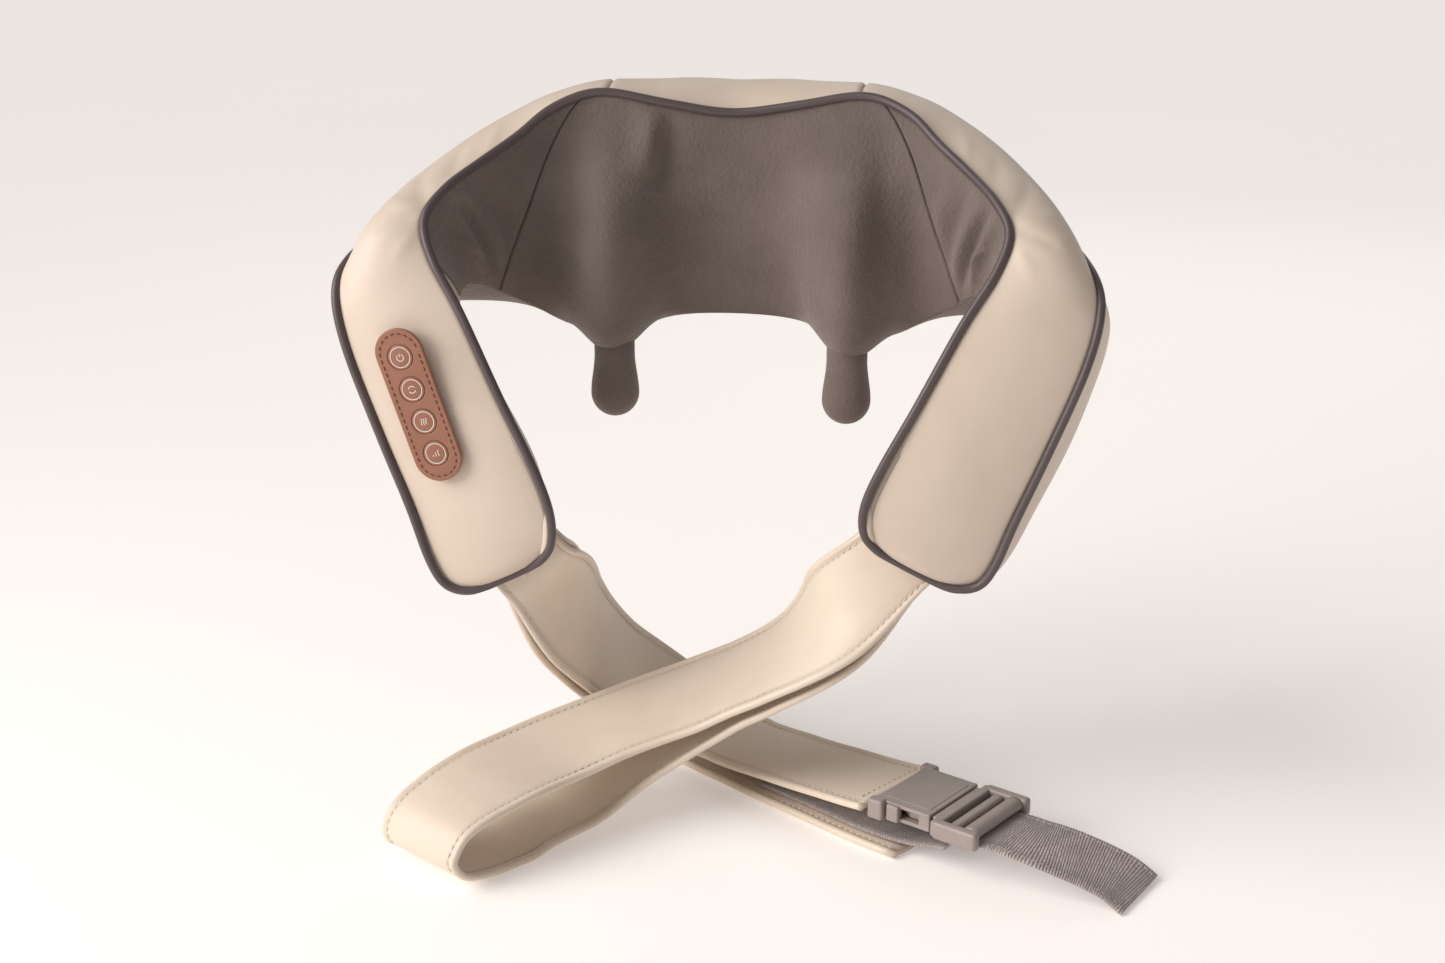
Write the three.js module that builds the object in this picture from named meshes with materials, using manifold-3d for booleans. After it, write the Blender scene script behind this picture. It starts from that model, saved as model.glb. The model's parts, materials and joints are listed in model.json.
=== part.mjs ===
// Shiatsu neck massager: a padded horseshoe collar with two kneading hands,
// two arms that hang over the shoulders, hand straps and a side-release buckle.
// Millimetres, +Z up, +Y towards the wearer's back, arms' faces towards -Y.
import * as THREE from "three";
import * as BufferGeometryUtils from "three/addons/utils/BufferGeometryUtils.js";
import Module from "manifold-3d";

const wasm = await Module();
wasm.setup();

// ---------------------------------------------------------------- dimensions
const COVER_THICKNESS = 3;
const SEAM_GAP = 0.02;
const PIPING_RADIUS = 2.2;
const PIPING_STANDOFF = 2.7;
const PIPING_TIP_STANDOFF = 1.2;

const DOME_X = 64.5;
const DOME_HEIGHT = 36;
const DOME_HALF_WIDTH = 26;
const DOME_DROP = 14;
const DOME_FULL_AT = 0.26;
const DOME_FADES_FROM = 0.42;
const DOME_DROP_FADES = [0.15, 0.6];

const THUMB_Y = 99;
const THUMB_TOP = 268.6;
const THUMB_TIP = 210;
const THUMB_NECK_RADIUS = 10.2;
const THUMB_BULB_RADIUS = 12.8;
const THUMB_SWING_ROOM = 6.4;
const THUMB_SIDE_ROOM = 1.6;
const THUMB_OPENING_Z = 252;
const THUMB_OPENING_LENGTH = 40;

const WHEEL_X = 27;
const WHEEL_Y = 151;
const WHEEL_Z = 336;
const WHEEL_RADIUS = 21.8;
const WHEEL_TEETH = 20;
const WHEEL_FACE = 10;
const TOOTH_DEPTH = 1.6;
const HUB_RADIUS = 8;
const HUB_FRONT_Y = 130;
const CRANK_DISC_RADIUS = 10;
const CRANK_DISC_THICKNESS = 4;
const AXLE_RADIUS = 3;
const AXLE_FRONT_Y = 142;
const AXLE_BACK_Y = 169.6;
const RUNNING_CLEARANCE = 0.4;
const WORM_RADIUS = 4.6;
const WORM_SHAFT_RADIUS = 1.5;
const WORM_SHAFT_BOTTOM = 302.6;
const WORM_SHAFT_TOP = 352;
const WORM_THREAD_BOTTOM = 325;
const WORM_THREADS = 4;
const WORM_PITCH = 4;
const CRANK_THROW = 6;
const CRANK_PIN_RADIUS = 3;

const GEARBOX_HALF_WIDTH = 53;
const GEARBOX_FRONT_Y = 134.3;
const GEARBOX_BACK_Y = 167;
const GEARBOX_BOTTOM = 308;
const GEARBOX_TOP = 364;
const GEARBOX_WALL = 3;
const MOTOR_RADIUS = 12;
const MOTOR_BOTTOM = 281;
const MOTOR_TOP = 304.5;
const MOTOR_BOSS_RADIUS = 4;
const MOTOR_BOSS_HEIGHT = 2;

const PIVOT_X = 62;
const PIVOT_Z = 290;
const PIVOT_PIN_RADIUS = 2.5;
const PIN_HEAD_RADIUS = 4.5;
const PIN_HEAD_FRONT_Y = 116.4;
const PIN_HEAD_BACK_Y = 119;
const PIN_BACK_Y = 150;
const HAND_BACK_Y = 126;
const HAND_FRONT_Y = 119.5;
const HAND_RING_OUTER = 19;
const HAND_RING_INNER = 15.6;
const BORE_CLEARANCE = 0.3;
const SHELF_HALF_WIDTH = 10;
const SHELF_FRONT_Y = 95;
const SHELF_BOTTOM = 269;
const SHELF_THICKNESS = 5;
const FINGER_SIZE = [13.5, 25, 24];
const FINGER_Z = 321;
const FINGER_PIN_ROOM = 7;

const CHASSIS_HALF_WIDTH = 72;
const CHASSIS_FRONT_Y = 170;
const CHASSIS_THICKNESS = 3;
const CHASSIS_BOTTOM = 284;
const CHASSIS_TOP = 352;
const RIB_X = 44;
const BOSS_RADIUS = 6;
const BOSS_FRONT_Y = 126.6;
const BOARD_HALF_WIDTH = 38;
const BOARD_FRONT_Y = 124;
const BOARD_BACK_Y = 164;
const BOARD_BOTTOM = 364.4;
const BOARD_TOP = 366;

const CELL_RADIUS = 9.2;
const CELL_LENGTH = 65;
const CELL_SPACING = 20;
const CELL_ROOM = 0.4;
const CASE_SIZE = [43, 25, 76];
const CASE_FLOOR = 4;
const HOUSING_HALF_WIDTH = 15;
const HOUSING_HALF_HEIGHT = 42;
const HOUSING_WALL = 2;

const STRAP_WIDTH = 62;
const STRAP_THICKNESS = 4;
const WEBBING_WIDTH = 46;
const WEBBING_THICKNESS = 1.8;

const PATCH_LENGTH = 83;
const PATCH_WIDTH = 26;
const PATCH_THICKNESS = 2.4;
const BUTTON_RADIUS = 6.6;
const BUTTON_PITCH = 17.6;
const BUTTON_COUNT = 4;
const BUTTON_TRAVEL = 0.8;

const BUCKLE_HEADING = THREE.MathUtils.degToRad(-31.5);

// Stations of the right half, from the middle of the back to the arm's tip:
// inner top rail, outer top rail, outer low rail, inner low rail.
const STATIONS = [
  [[0, 110, 377], [0, 182, 370], [0, 188, 288], [0, 117, 266]],
  [[36, 107, 382], [38, 181, 370], [38, 187, 286], [34, 117, 264]],
  [[71, 105, 387.5], [74, 177, 366], [74, 183, 282], [66, 118, 257]],
  [[95, 95, 380], [108, 166, 357], [108, 172, 278], [92, 108, 261]],
  [[111, 80, 367], [137, 143, 344], [140, 150, 275], [110, 97, 272]],
  [[128, 60, 355], [162, 110, 330], [168, 120, 273], [122, 86, 281]],
  [[141, 40, 345], [180, 70, 318], [191, 90, 272], [131, 76, 288]],
  [[149, 25, 331.5], [191, 34, 309], [205, 66, 271], [138, 67, 289]],
  [[143, 15, 313], [194, 16, 295], [207, 57, 265], [140, 58, 284]],
  [[128, 8, 288], [188, 9, 268], [201, 52, 250], [136, 51, 269]],
  [[107, 1, 246], [172, 6, 225], [185, 49, 217], [118, 45, 240]],
  [[90, 0, 212], [157, 6, 186], [169, 48, 180], [101, 44, 209]],
  [[82, 1, 190], [148, 6, 160], [158, 46, 157], [93, 42, 188]],
  [[82, 3, 174], [140, 7, 147], [147, 40, 146], [91, 38, 174]],
  [[88, 6, 164], [128, 8, 144], [132, 36, 144], [95, 34, 164]],
  [[97, 10, 157], [116, 11, 147], [118, 30, 147], [101, 29, 157]],
];
const LAST = STATIONS.length - 1;
const SHOULDER = 6.6;
const BACK_SEAM = 1.9;
const BACK_PANEL = 3.6;
const FABRIC_SEAM = 3.1;
const STATION_GAP = 0.03;
const PIPING_END = LAST - 1.4;

// Outward bulge of each face: top, outer side, underside, inner wall.
const FACE_CROWN = [13, 5, 5, 2];
const ARM_CROWN = [5, 3, 3, 2];

// ---------------------------------------------------------------- materials
const paint = (color, roughness, metalness = 0) =>
  new THREE.MeshStandardMaterial({ color, roughness, metalness });

const LEATHER = 0xd3c4ac;
const FABRIC = 0x6f635d;
const PIPING = 0x574a4a;
const PATCH = 0x8d543d;
const ABS_GREY = 0x857b76;
const ABS_DARK = 0x2d2d30;
const STEEL = 0xa9acb0;
const ACETAL = 0xe6e2d6;
const CIRCUIT = 0x2c6b46;
const FOAM = 0xc9c4b8;
const SILICONE = 0x6b5f5a;
const WIRE = 0x202024;
const CELL_WRAP = 0x3c6fa5;

const root = new THREE.Group();

function addMesh(name, geometry, color, roughness = 0.7, metalness = 0) {
  const mesh = new THREE.Mesh(geometry, paint(color, roughness, metalness));
  mesh.name = name;
  root.add(mesh);
  return mesh;
}

// ---------------------------------------------------------------- solids
function toSolid(geometry) {
  const bare = geometry.clone();
  bare.deleteAttribute("normal");
  bare.deleteAttribute("uv");
  const merged = BufferGeometryUtils.mergeVertices(bare, 1e-4);
  return new wasm.Manifold(new wasm.Mesh({
    numProp: 3,
    vertProperties: new Float32Array(merged.attributes.position.array),
    triVerts: new Uint32Array(merged.index.array),
  }));
}

function toGeometry(solid) {
  const mesh = solid.getMesh();
  const geometry = new THREE.BufferGeometry();
  geometry.setAttribute("position", new THREE.BufferAttribute(mesh.vertProperties, 3));
  geometry.setIndex(new THREE.BufferAttribute(mesh.triVerts, 1));
  geometry.computeVertexNormals();
  return geometry;
}

const join = (...parts) => toGeometry(parts.map(toSolid).reduce((a, b) => a.add(b)));

function cut(body, ...tools) {
  return toGeometry(tools.map(toSolid).reduce((a, b) => a.subtract(b), toSolid(body)));
}

// A closed skin over rings that each list the same number of points, in order.
function loft(rings) {
  const count = rings[0].length;
  const positions = rings.flat().flatMap((p) => [p.x, p.y, p.z]);
  const index = [];
  for (let r = 0; r < rings.length - 1; r += 1) {
    for (let i = 0; i < count; i += 1) {
      const a = r * count + i;
      const b = r * count + ((i + 1) % count);
      index.push(a, b, b + count, a, b + count, a + count);
    }
  }
  const top = (rings.length - 1) * count;
  for (let i = 0; i < count / 2 - 1; i += 1) {
    const j = count - 1 - i;
    index.push(i, j, j - 1, i, j - 1, i + 1);
    index.push(top + i, top + i + 1, top + j - 1, top + i, top + j - 1, top + j);
  }
  const geometry = new THREE.BufferGeometry();
  geometry.setAttribute("position", new THREE.Float32BufferAttribute(positions, 3));
  geometry.setIndex(index);
  return facingOut(geometry);
}

function facingOut(geometry) {
  const p = geometry.attributes.position;
  const index = geometry.index.array;
  const [a, b, c] = [new THREE.Vector3(), new THREE.Vector3(), new THREE.Vector3()];
  let volume = 0;
  for (let i = 0; i < index.length; i += 3) {
    a.fromBufferAttribute(p, index[i]);
    b.fromBufferAttribute(p, index[i + 1]);
    c.fromBufferAttribute(p, index[i + 2]);
    volume += a.dot(b.cross(c));
  }
  if (volume < 0) {
    for (let i = 0; i < index.length; i += 3) {
      [index[i + 1], index[i + 2]] = [index[i + 2], index[i + 1]];
    }
  }
  geometry.computeVertexNormals();
  return geometry;
}

// A block between two corners.
function block([x0, y0, z0], [x1, y1, z1]) {
  const geometry = new THREE.BoxGeometry(x1 - x0, y1 - y0, z1 - z0);
  return geometry.translate((x0 + x1) / 2, (y0 + y1) / 2, (z0 + z1) / 2);
}

// A round bar along Y from y0 to y1, centred on x and z.
function barY(radius, x, z, y0, y1, sides = 20) {
  const geometry = new THREE.CylinderGeometry(radius, radius, y1 - y0, sides);
  return geometry.translate(x, (y0 + y1) / 2, z);
}

// A turned piece whose profile lists radius and height, standing along Z.
function turned(profile, x, y, sides = 20) {
  const points = profile.map(([radius, height]) => new THREE.Vector2(radius, height));
  const geometry = new THREE.LatheGeometry(points, sides).rotateX(Math.PI / 2);
  return geometry.translate(x, y, 0);
}

// A flat outline in X and Z, thickened from y0 to y1.
function plateY(shape, y0, y1, curveSegments = 12) {
  const options = { depth: y1 - y0, bevelEnabled: false, curveSegments };
  return new THREE.ExtrudeGeometry(shape, options).rotateX(Math.PI / 2).translate(0, y1, 0);
}

// A round tube through points.
function tube(points, radius, steps, sides = 6) {
  const shape = new THREE.Shape();
  for (let i = 0; i < sides; i += 1) {
    const angle = (i / sides) * 2 * Math.PI;
    const place = [radius * Math.cos(angle), radius * Math.sin(angle)];
    if (i === 0) shape.moveTo(...place);
    else shape.lineTo(...place);
  }
  shape.closePath();
  const extrudePath = new THREE.CatmullRomCurve3(points);
  return new THREE.ExtrudeGeometry(shape, { steps, extrudePath, bevelEnabled: false });
}

const vector = ([x, y, z]) => new THREE.Vector3(x, y, z);
const mirrored = (p) => new THREE.Vector3(-p.x, p.y, p.z);

// ---------------------------------------------------------------- the body's outer surface
const rails = [0, 1, 2, 3].map((corner) =>
  new THREE.CatmullRomCurve3([
    vector(STATIONS[1][corner]).multiply(new THREE.Vector3(-1, 1, 1)),
    ...STATIONS.map((station) => vector(station[corner])),
  ], false, "catmullrom", 0.5));

// Station 0 is the second control point, because the curves start one station early.
const railPoint = (corner, u) => rails[corner].getPoint((Math.abs(u) + 1) / (LAST + 1));

const bump = (t) => 4 * t * (1 - t);

function domeShift(x, t) {
  const across = Math.exp(-(((Math.abs(x) - DOME_X) / DOME_HALF_WIDTH) ** 2));
  const rise = 1 - (1 - Math.min(t / DOME_FULL_AT, 1)) ** 2.6;
  const fall = 1 - THREE.MathUtils.smoothstep(t, DOME_FADES_FROM, 1) * 0.96;
  const forward = DOME_HEIGHT * across * rise * fall;
  const low = 1 - THREE.MathUtils.smoothstep(t, ...DOME_DROP_FADES);
  const down = DOME_DROP * across * rise * low;
  return new THREE.Vector3(0, -forward, -down);
}

function sectionCentre(u) {
  const centre = new THREE.Vector3();
  for (let corner = 0; corner < 4; corner += 1) centre.add(railPoint(corner, u));
  return centre.divideScalar(4);
}

// Face 0 is the top, 1 the outer side, 2 the underside and 3 the inner wall.
// The value v runs from 0 to 4 around the section, and u is signed: right is positive.
function outerPoint(u, v) {
  const face = Math.min(Math.floor(v), 3);
  const t = v - face;
  const start = railPoint(face, u);
  const end = railPoint((face + 1) % 4, u);
  const along = end.clone().sub(start).normalize();
  const out = start.clone().lerp(end, 0.5).sub(sectionCentre(u));
  out.addScaledVector(along, -out.dot(along)).normalize();
  const arm = THREE.MathUtils.smoothstep(Math.abs(u), SHOULDER, SHOULDER + 2);
  const crown = THREE.MathUtils.lerp(FACE_CROWN[face], ARM_CROWN[face], arm);
  const tip = 1 - THREE.MathUtils.smoothstep(Math.abs(u), LAST - 2, LAST) * 0.8;
  const point = start.lerp(end, t).addScaledVector(out, crown * bump(t) * tip);
  if (face === 3) point.addScaledVector(domeShift(point.x, t), 1 - arm);
  return u < 0 ? mirrored(point) : point;
}

function innerPoint(u, v, depth) {
  const centre = sectionCentre(u);
  if (u < 0) centre.x = -centre.x;
  const point = outerPoint(u, v);
  const inward = centre.sub(point);
  return point.addScaledVector(inward.normalize(), depth);
}

// A cover panel of the body between two stations and two places round the section.
function panel(u0, u1, uSteps, v0, v1, vSteps, from = 0, depth = COVER_THICKNESS) {
  const rings = [];
  for (let i = 0; i <= uSteps; i += 1) {
    const u = THREE.MathUtils.lerp(u0, u1, i / uSteps);
    const ring = [];
    for (let j = 0; j <= vSteps; j += 1) {
      const v = THREE.MathUtils.lerp(v0, v1, j / vSteps);
      ring.push(from === 0 ? outerPoint(u, v) : innerPoint(u, v, from));
    }
    for (let j = vSteps; j >= 0; j -= 1) {
      const v = THREE.MathUtils.lerp(v0, v1, j / vSteps);
      ring.push(innerPoint(u, v, from + depth));
    }
    rings.push(ring);
  }
  return loft(rings);
}

// ---------------------------------------------------------------- straps
// Stations give the middle of the strap, the direction across it and, where the
// strap has a second layer, how far that layer lies behind the first.
function strapFrames(stations, steps) {
  const middle = new THREE.CatmullRomCurve3(stations.map(([place]) => vector(place)));
  const across = new THREE.CatmullRomCurve3(stations.map(([, direction]) => vector(direction)));
  const frames = [];
  for (let i = 0; i <= steps; i += 1) {
    const t = i / steps;
    const tangent = middle.getTangent(t);
    const side = across.getPoint(t);
    side.addScaledVector(tangent, -side.dot(tangent)).normalize();
    const behind = tangent.clone().cross(side).normalize();
    const place = t * (stations.length - 1);
    const before = stations[Math.floor(place)];
    const after = stations[Math.ceil(place)];
    const distance = THREE.MathUtils.lerp(before[2] ?? 0, after[2] ?? 0, place % 1);
    frames.push({ centre: middle.getPoint(t), side, behind, distance });
  }
  return frames;
}

// The layer behind, listed from the far end back to the start.
const secondLayer = (frames) =>
  frames.map(({ centre, side, behind, distance }) => laidOnFloor({
    centre: centre.clone().addScaledVector(behind, distance),
    side: side.clone(),
    behind: behind.clone().negate(),
  })).reverse();

// A stretch that comes down to the floor turns level, and lies flat where it touches.
function laidOnFloor({ centre, side, behind }) {
  const level = 1 - THREE.MathUtils.smoothstep(centre.z, STRAP_THICKNESS, 4 * STRAP_THICKNESS);
  side.setZ(side.z * (1 - level)).normalize();
  if (centre.z <= STRAP_THICKNESS) {
    centre.setZ(STRAP_THICKNESS / 2);
    behind.set(0, 0, Math.sign(behind.z));
  } else {
    behind.addScaledVector(side, -behind.dot(side)).normalize();
  }
  return { centre, side, behind };
}

function ribbon(frames, width, thickness) {
  const rings = frames.map(({ centre, side, behind }) => {
    const corner = (across, through) =>
      centre.clone()
        .addScaledVector(side, (across * width) / 2)
        .addScaledVector(behind, (through * thickness) / 2);
    return [corner(-1, -1), corner(1, -1), corner(1, 1), corner(-1, 1)];
  });
  return loft(rings);
}

// The right arm's strap runs down to a loop on the floor and back up behind itself.
const RIGHT_STRAP_FRONT = [
  [[92.5, 16, 149], [-0.78, 0.1, 0.62], 7],
  [[73, 16, 134], [-0.4, 0.8, 0.5], 9],
  [[53, 23, 114], [-0.1, 0.88, 0.47], 9],
  [[34, 31, 97], [0, 0.91, 0.4], 9],
  [[12, 37, 82], [0, 0.94, 0.34], 10],
  [[-14, 39, 68], [-0.2, 0.94, 0.27], 13],
  [[-53, 30, 54], [-0.47, 0.87, 0.17], 24],
  [[-85, 8, 46], [-0.7, 0.7, 0.14], 39],
  [[-111, -20, 42], [-0.77, 0.61, 0.1], 39.5],
  [[-127, -37, 37], [-0.79, 0.6, 0.06], 35],
];
const RIGHT_STRAP_TURN = [
  [[-139, -50, 29], [-0.8, 0.6, 0]],
  [[-144, -56, 17], [-0.8, 0.6, 0]],
  [[-140, -52, 7.6], [-0.8, 0.6, 0]],
];

// The left arm's strap has two bands that lie one over the other on the floor.
const LEFT_STRAP_FRONT = [
  [[-91.5, 18, 147.5], [-0.78, 0.02, -0.62], 7],
  [[-91, 27, 134], [-0.4, -0.7, -0.6], 8],
  [[-83, 62, 98], [-0.1, -0.77, -0.63], 9],
  [[-62, 104, 56], [0, -0.8, -0.55], 9],
  [[-38, 125, 28], [-0.1, -0.88, -0.4], 9.5],
  [[-15, 118, 14.5], [-0.35, -0.9, -0.15], 10.5],
  [[6, 103, 12.5], [-0.5, -0.86, 0], 10.2],
  [[34, 80, 15], [-0.52, -0.85, 0], 12.8],
  [[66, 56, 18.5], [-0.52, -0.85, 0], 16.3],
  [[101, 29, 23.5], [-0.52, -0.85, 0], 21.3],
];
const LEFT_LOWER_END = [120, 17.5, STRAP_THICKNESS / 2];
const ANCHOR_WEBBING = [
  [[34, 80, 5.6], [0.52, 0.85, 0]],
  [[66, 56, 5.6], [0.52, 0.85, 0]],
  [[98, 31, 5.8], [0.52, 0.85, 0]],
  [[120, 17, 7.5], [0.52, 0.85, 0]],
  [[140, 4.5, 12.5], [0.52, 0.85, 0]],
];
const TAIL_WEBBING = [
  [[162.5, -9.5, 23.3], [0.52, 0.85, 0]],
  [[178, -15, 20], [0.5, 0.87, 0]],
  [[201, -20, 13.5], [0.5, 0.86, 0]],
  [[219, -25, 7], [0.5, 0.86, 0]],
  [[229, -30, 1.4], [0.5, 0.86, 0]],
];

function rightHandStrap() {
  const front = strapFrames(RIGHT_STRAP_FRONT, 24);
  const back = secondLayer(front);
  const ends = [front.at(-1), back[0]].map(({ centre, side }) => [centre.toArray(), side.toArray()]);
  const turn = strapFrames([ends[0], ...RIGHT_STRAP_TURN, ends[1]], 8).slice(1, -1);
  return ribbon([...front, ...turn, ...back], STRAP_WIDTH, STRAP_THICKNESS);
}

function addStraps() {
  const left = strapFrames(LEFT_STRAP_FRONT, 28);
  const under = secondLayer(left).reverse();
  addMesh("right_hand_strap", rightHandStrap(), LEATHER);
  addMesh("left_strap_upper", ribbon(left, STRAP_WIDTH, STRAP_THICKNESS), LEATHER);
  const lowerEnd = { ...under.at(-1), centre: vector(LEFT_LOWER_END) };
  const lower = ribbon([...under, lowerEnd], STRAP_WIDTH, STRAP_THICKNESS);
  addMesh("left_strap_lower", lower, LEATHER);
  const webbing = (stations, steps) =>
    ribbon(strapFrames(stations, steps), WEBBING_WIDTH, WEBBING_THICKNESS);
  addMesh("anchor_webbing", webbing(ANCHOR_WEBBING, 12), ABS_GREY, 0.95);
  addMesh("adjuster_webbing_tail", webbing(TAIL_WEBBING, 14), ABS_GREY, 0.95);
}

// ---------------------------------------------------------------- covers
function addCovers() {
  const g = SEAM_GAP;
  addMesh("top_cover_center", panel(-BACK_SEAM, BACK_SEAM, 14, g, 1 - g, 5), LEATHER);
  addMesh("back_cover", panel(-BACK_PANEL, BACK_PANEL, 18, 1 + g, 2 - g, 3), LEATHER);
  addMesh("base_cover", panel(-SHOULDER, SHOULDER, 24, 2 + g, 3 - g, 3), FABRIC);
  const openings = [-1, 1].map((side) => {
    const hole = new THREE.CylinderGeometry(1, 1, THUMB_OPENING_LENGTH, 20).rotateX(Math.PI / 2);
    hole.scale(THUMB_NECK_RADIUS + THUMB_SWING_ROOM, THUMB_NECK_RADIUS + THUMB_SIDE_ROOM, 1);
    return hole.translate(side * DOME_X, THUMB_Y, THUMB_OPENING_Z);
  });
  const wall = panel(-FABRIC_SEAM, FABRIC_SEAM, 30, 3 + g, 4 - g, 8);
  addMesh("inner_fabric_center", cut(wall, ...openings), FABRIC, 0.95);
  for (const [name, side] of [["left", -1], ["right", 1]]) {
    const range = (u0, u1) => [side * u0, side * u1];
    const top = panel(...range(BACK_SEAM + g, LAST), 26, g, 1 - g, 4);
    addMesh(`${name}_top_cover`, top, LEATHER);
    const gusset = panel(...range(BACK_PANEL + STATION_GAP, LAST), 22, 1 + g, 2 - g, 2);
    addMesh(`${name}_side_gusset`, gusset, LEATHER);
    const lining = panel(...range(SHOULDER + g, LAST), 18, 2 + g, 4 - g, 5);
    const lined = side < 0 ? cut(lining, socketRoom()) : lining;
    addMesh(`${name}_arm_lining`, lined, LEATHER);
    const fabric = panel(...range(FABRIC_SEAM + STATION_GAP, SHOULDER - g), 10, 3 + g, 4 - g, 4);
    addMesh(`${name}_inner_fabric`, fabric, FABRIC, 0.95);
  }
}

// Cord piping follows the seam outside a rail, from one arm's tip to the other's.
function pipingPath(corner) {
  const points = [];
  const stops = 44;
  for (let i = 0; i <= stops; i += 1) {
    const u = THREE.MathUtils.lerp(-PIPING_END, PIPING_END, i / stops);
    const rail = railPoint(corner, u);
    const out = rail.clone().sub(sectionCentre(u)).normalize();
    const tip = THREE.MathUtils.smoothstep(Math.abs(u), LAST - 3, LAST - 1);
    rail.addScaledVector(out, PIPING_STANDOFF + PIPING_TIP_STANDOFF * tip);
    points.push(u < 0 ? mirrored(rail) : rail);
  }
  return points;
}

function addPiping() {
  addMesh("inner_piping", tube(pipingPath(0), PIPING_RADIUS, 64), PIPING, 0.5);
  addMesh("outer_piping", tube(pipingPath(1), PIPING_RADIUS, 64), PIPING, 0.5);
}

// ---------------------------------------------------------------- drive
function gearOutline(radius, teeth, depth) {
  const shape = new THREE.Shape();
  const steps = teeth * 4;
  for (let i = 0; i < steps; i += 1) {
    const reach = i % 4 < 2 ? radius : radius - depth;
    const angle = ((i + (i % 2) * 0.2) / steps) * 2 * Math.PI;
    const place = [reach * Math.cos(angle), reach * Math.sin(angle)];
    if (i === 0) shape.moveTo(...place);
    else shape.lineTo(...place);
  }
  shape.closePath();
  return shape;
}

function wormWheel(side) {
  const x = side * WHEEL_X;
  const front = WHEEL_Y - WHEEL_FACE / 2;
  const back = WHEEL_Y + WHEEL_FACE / 2;
  const gear = plateY(gearOutline(WHEEL_RADIUS, WHEEL_TEETH, TOOTH_DEPTH), front, back);
  gear.translate(x, 0, WHEEL_Z);
  const hub = barY(HUB_RADIUS, x, WHEEL_Z, HUB_FRONT_Y, front + 1, 24);
  const discFront = HUB_FRONT_Y - 1;
  const disc = barY(CRANK_DISC_RADIUS, x, WHEEL_Z, discFront, discFront + CRANK_DISC_THICKNESS, 24);
  const pinX = x + side * CRANK_THROW;
  const pin = barY(CRANK_PIN_RADIUS, pinX, WHEEL_Z, HAND_FRONT_Y - 0.9, HUB_FRONT_Y, 16);
  const bore = barY(AXLE_RADIUS + RUNNING_CLEARANCE, x, WHEEL_Z, AXLE_FRONT_Y - 1, back + 1, 20);
  return cut(join(gear, hub, disc, pin), bore);
}

function worm() {
  const shaft = WORM_SHAFT_RADIUS;
  const root = WORM_RADIUS - TOOTH_DEPTH;
  const profile = [[0, WORM_SHAFT_BOTTOM], [shaft, WORM_SHAFT_BOTTOM], [shaft, WORM_THREAD_BOTTOM]];
  for (let i = 0; i < WORM_THREADS; i += 1) {
    const base = WORM_THREAD_BOTTOM + i * WORM_PITCH;
    profile.push([root, base + 0.6], [WORM_RADIUS, base + 1.4]);
    profile.push([WORM_RADIUS, base + 2.4], [root, base + 3.2]);
  }
  const threadTop = WORM_THREAD_BOTTOM + WORM_THREADS * WORM_PITCH + 1;
  profile.push([shaft, threadTop], [shaft, WORM_SHAFT_TOP], [0, WORM_SHAFT_TOP]);
  return turned(profile, 0, WHEEL_Y, 12);
}

function motor() {
  const boss = MOTOR_BOSS_RADIUS;
  const bossBottom = MOTOR_BOTTOM - MOTOR_BOSS_HEIGHT;
  const profile = [[0, bossBottom], [boss, bossBottom], [boss, MOTOR_BOTTOM]];
  profile.push([MOTOR_RADIUS, MOTOR_BOTTOM], [MOTOR_RADIUS, MOTOR_TOP], [0, MOTOR_TOP]);
  const body = turned(profile, 0, WHEEL_Y, 28);
  const shaftRoom = turned([[0, 302], [2, 302], [2, 306], [0, 306]], 0, WHEEL_Y, 16);
  return cut(body, shaftRoom);
}

function gearboxHalf(y0, y1, openSide) {
  const width = GEARBOX_HALF_WIDTH;
  const inside = width - GEARBOX_WALL;
  const floor = GEARBOX_BOTTOM + GEARBOX_WALL;
  const shell = block([-width, y0, GEARBOX_BOTTOM], [width, y1, GEARBOX_TOP]);
  const front = openSide > 0 ? y0 + GEARBOX_WALL : y0 - 1;
  const back = openSide > 0 ? y1 + 1 : y1 - GEARBOX_WALL;
  const room = block([-inside, front, floor], [inside, back, GEARBOX_TOP - GEARBOX_WALL]);
  const shaft = turned([[0, 300], [2.2, 300], [2.2, 315], [0, 315]], 0, WHEEL_Y, 16);
  const holes = [-1, 1].map((side) => {
    const radius = openSide > 0 ? HUB_RADIUS + 1 : AXLE_RADIUS + RUNNING_CLEARANCE;
    return barY(radius, side * WHEEL_X, WHEEL_Z, y0 - 2, y1 + 2, 24);
  });
  return cut(shell, room, shaft, ...holes);
}

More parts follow.
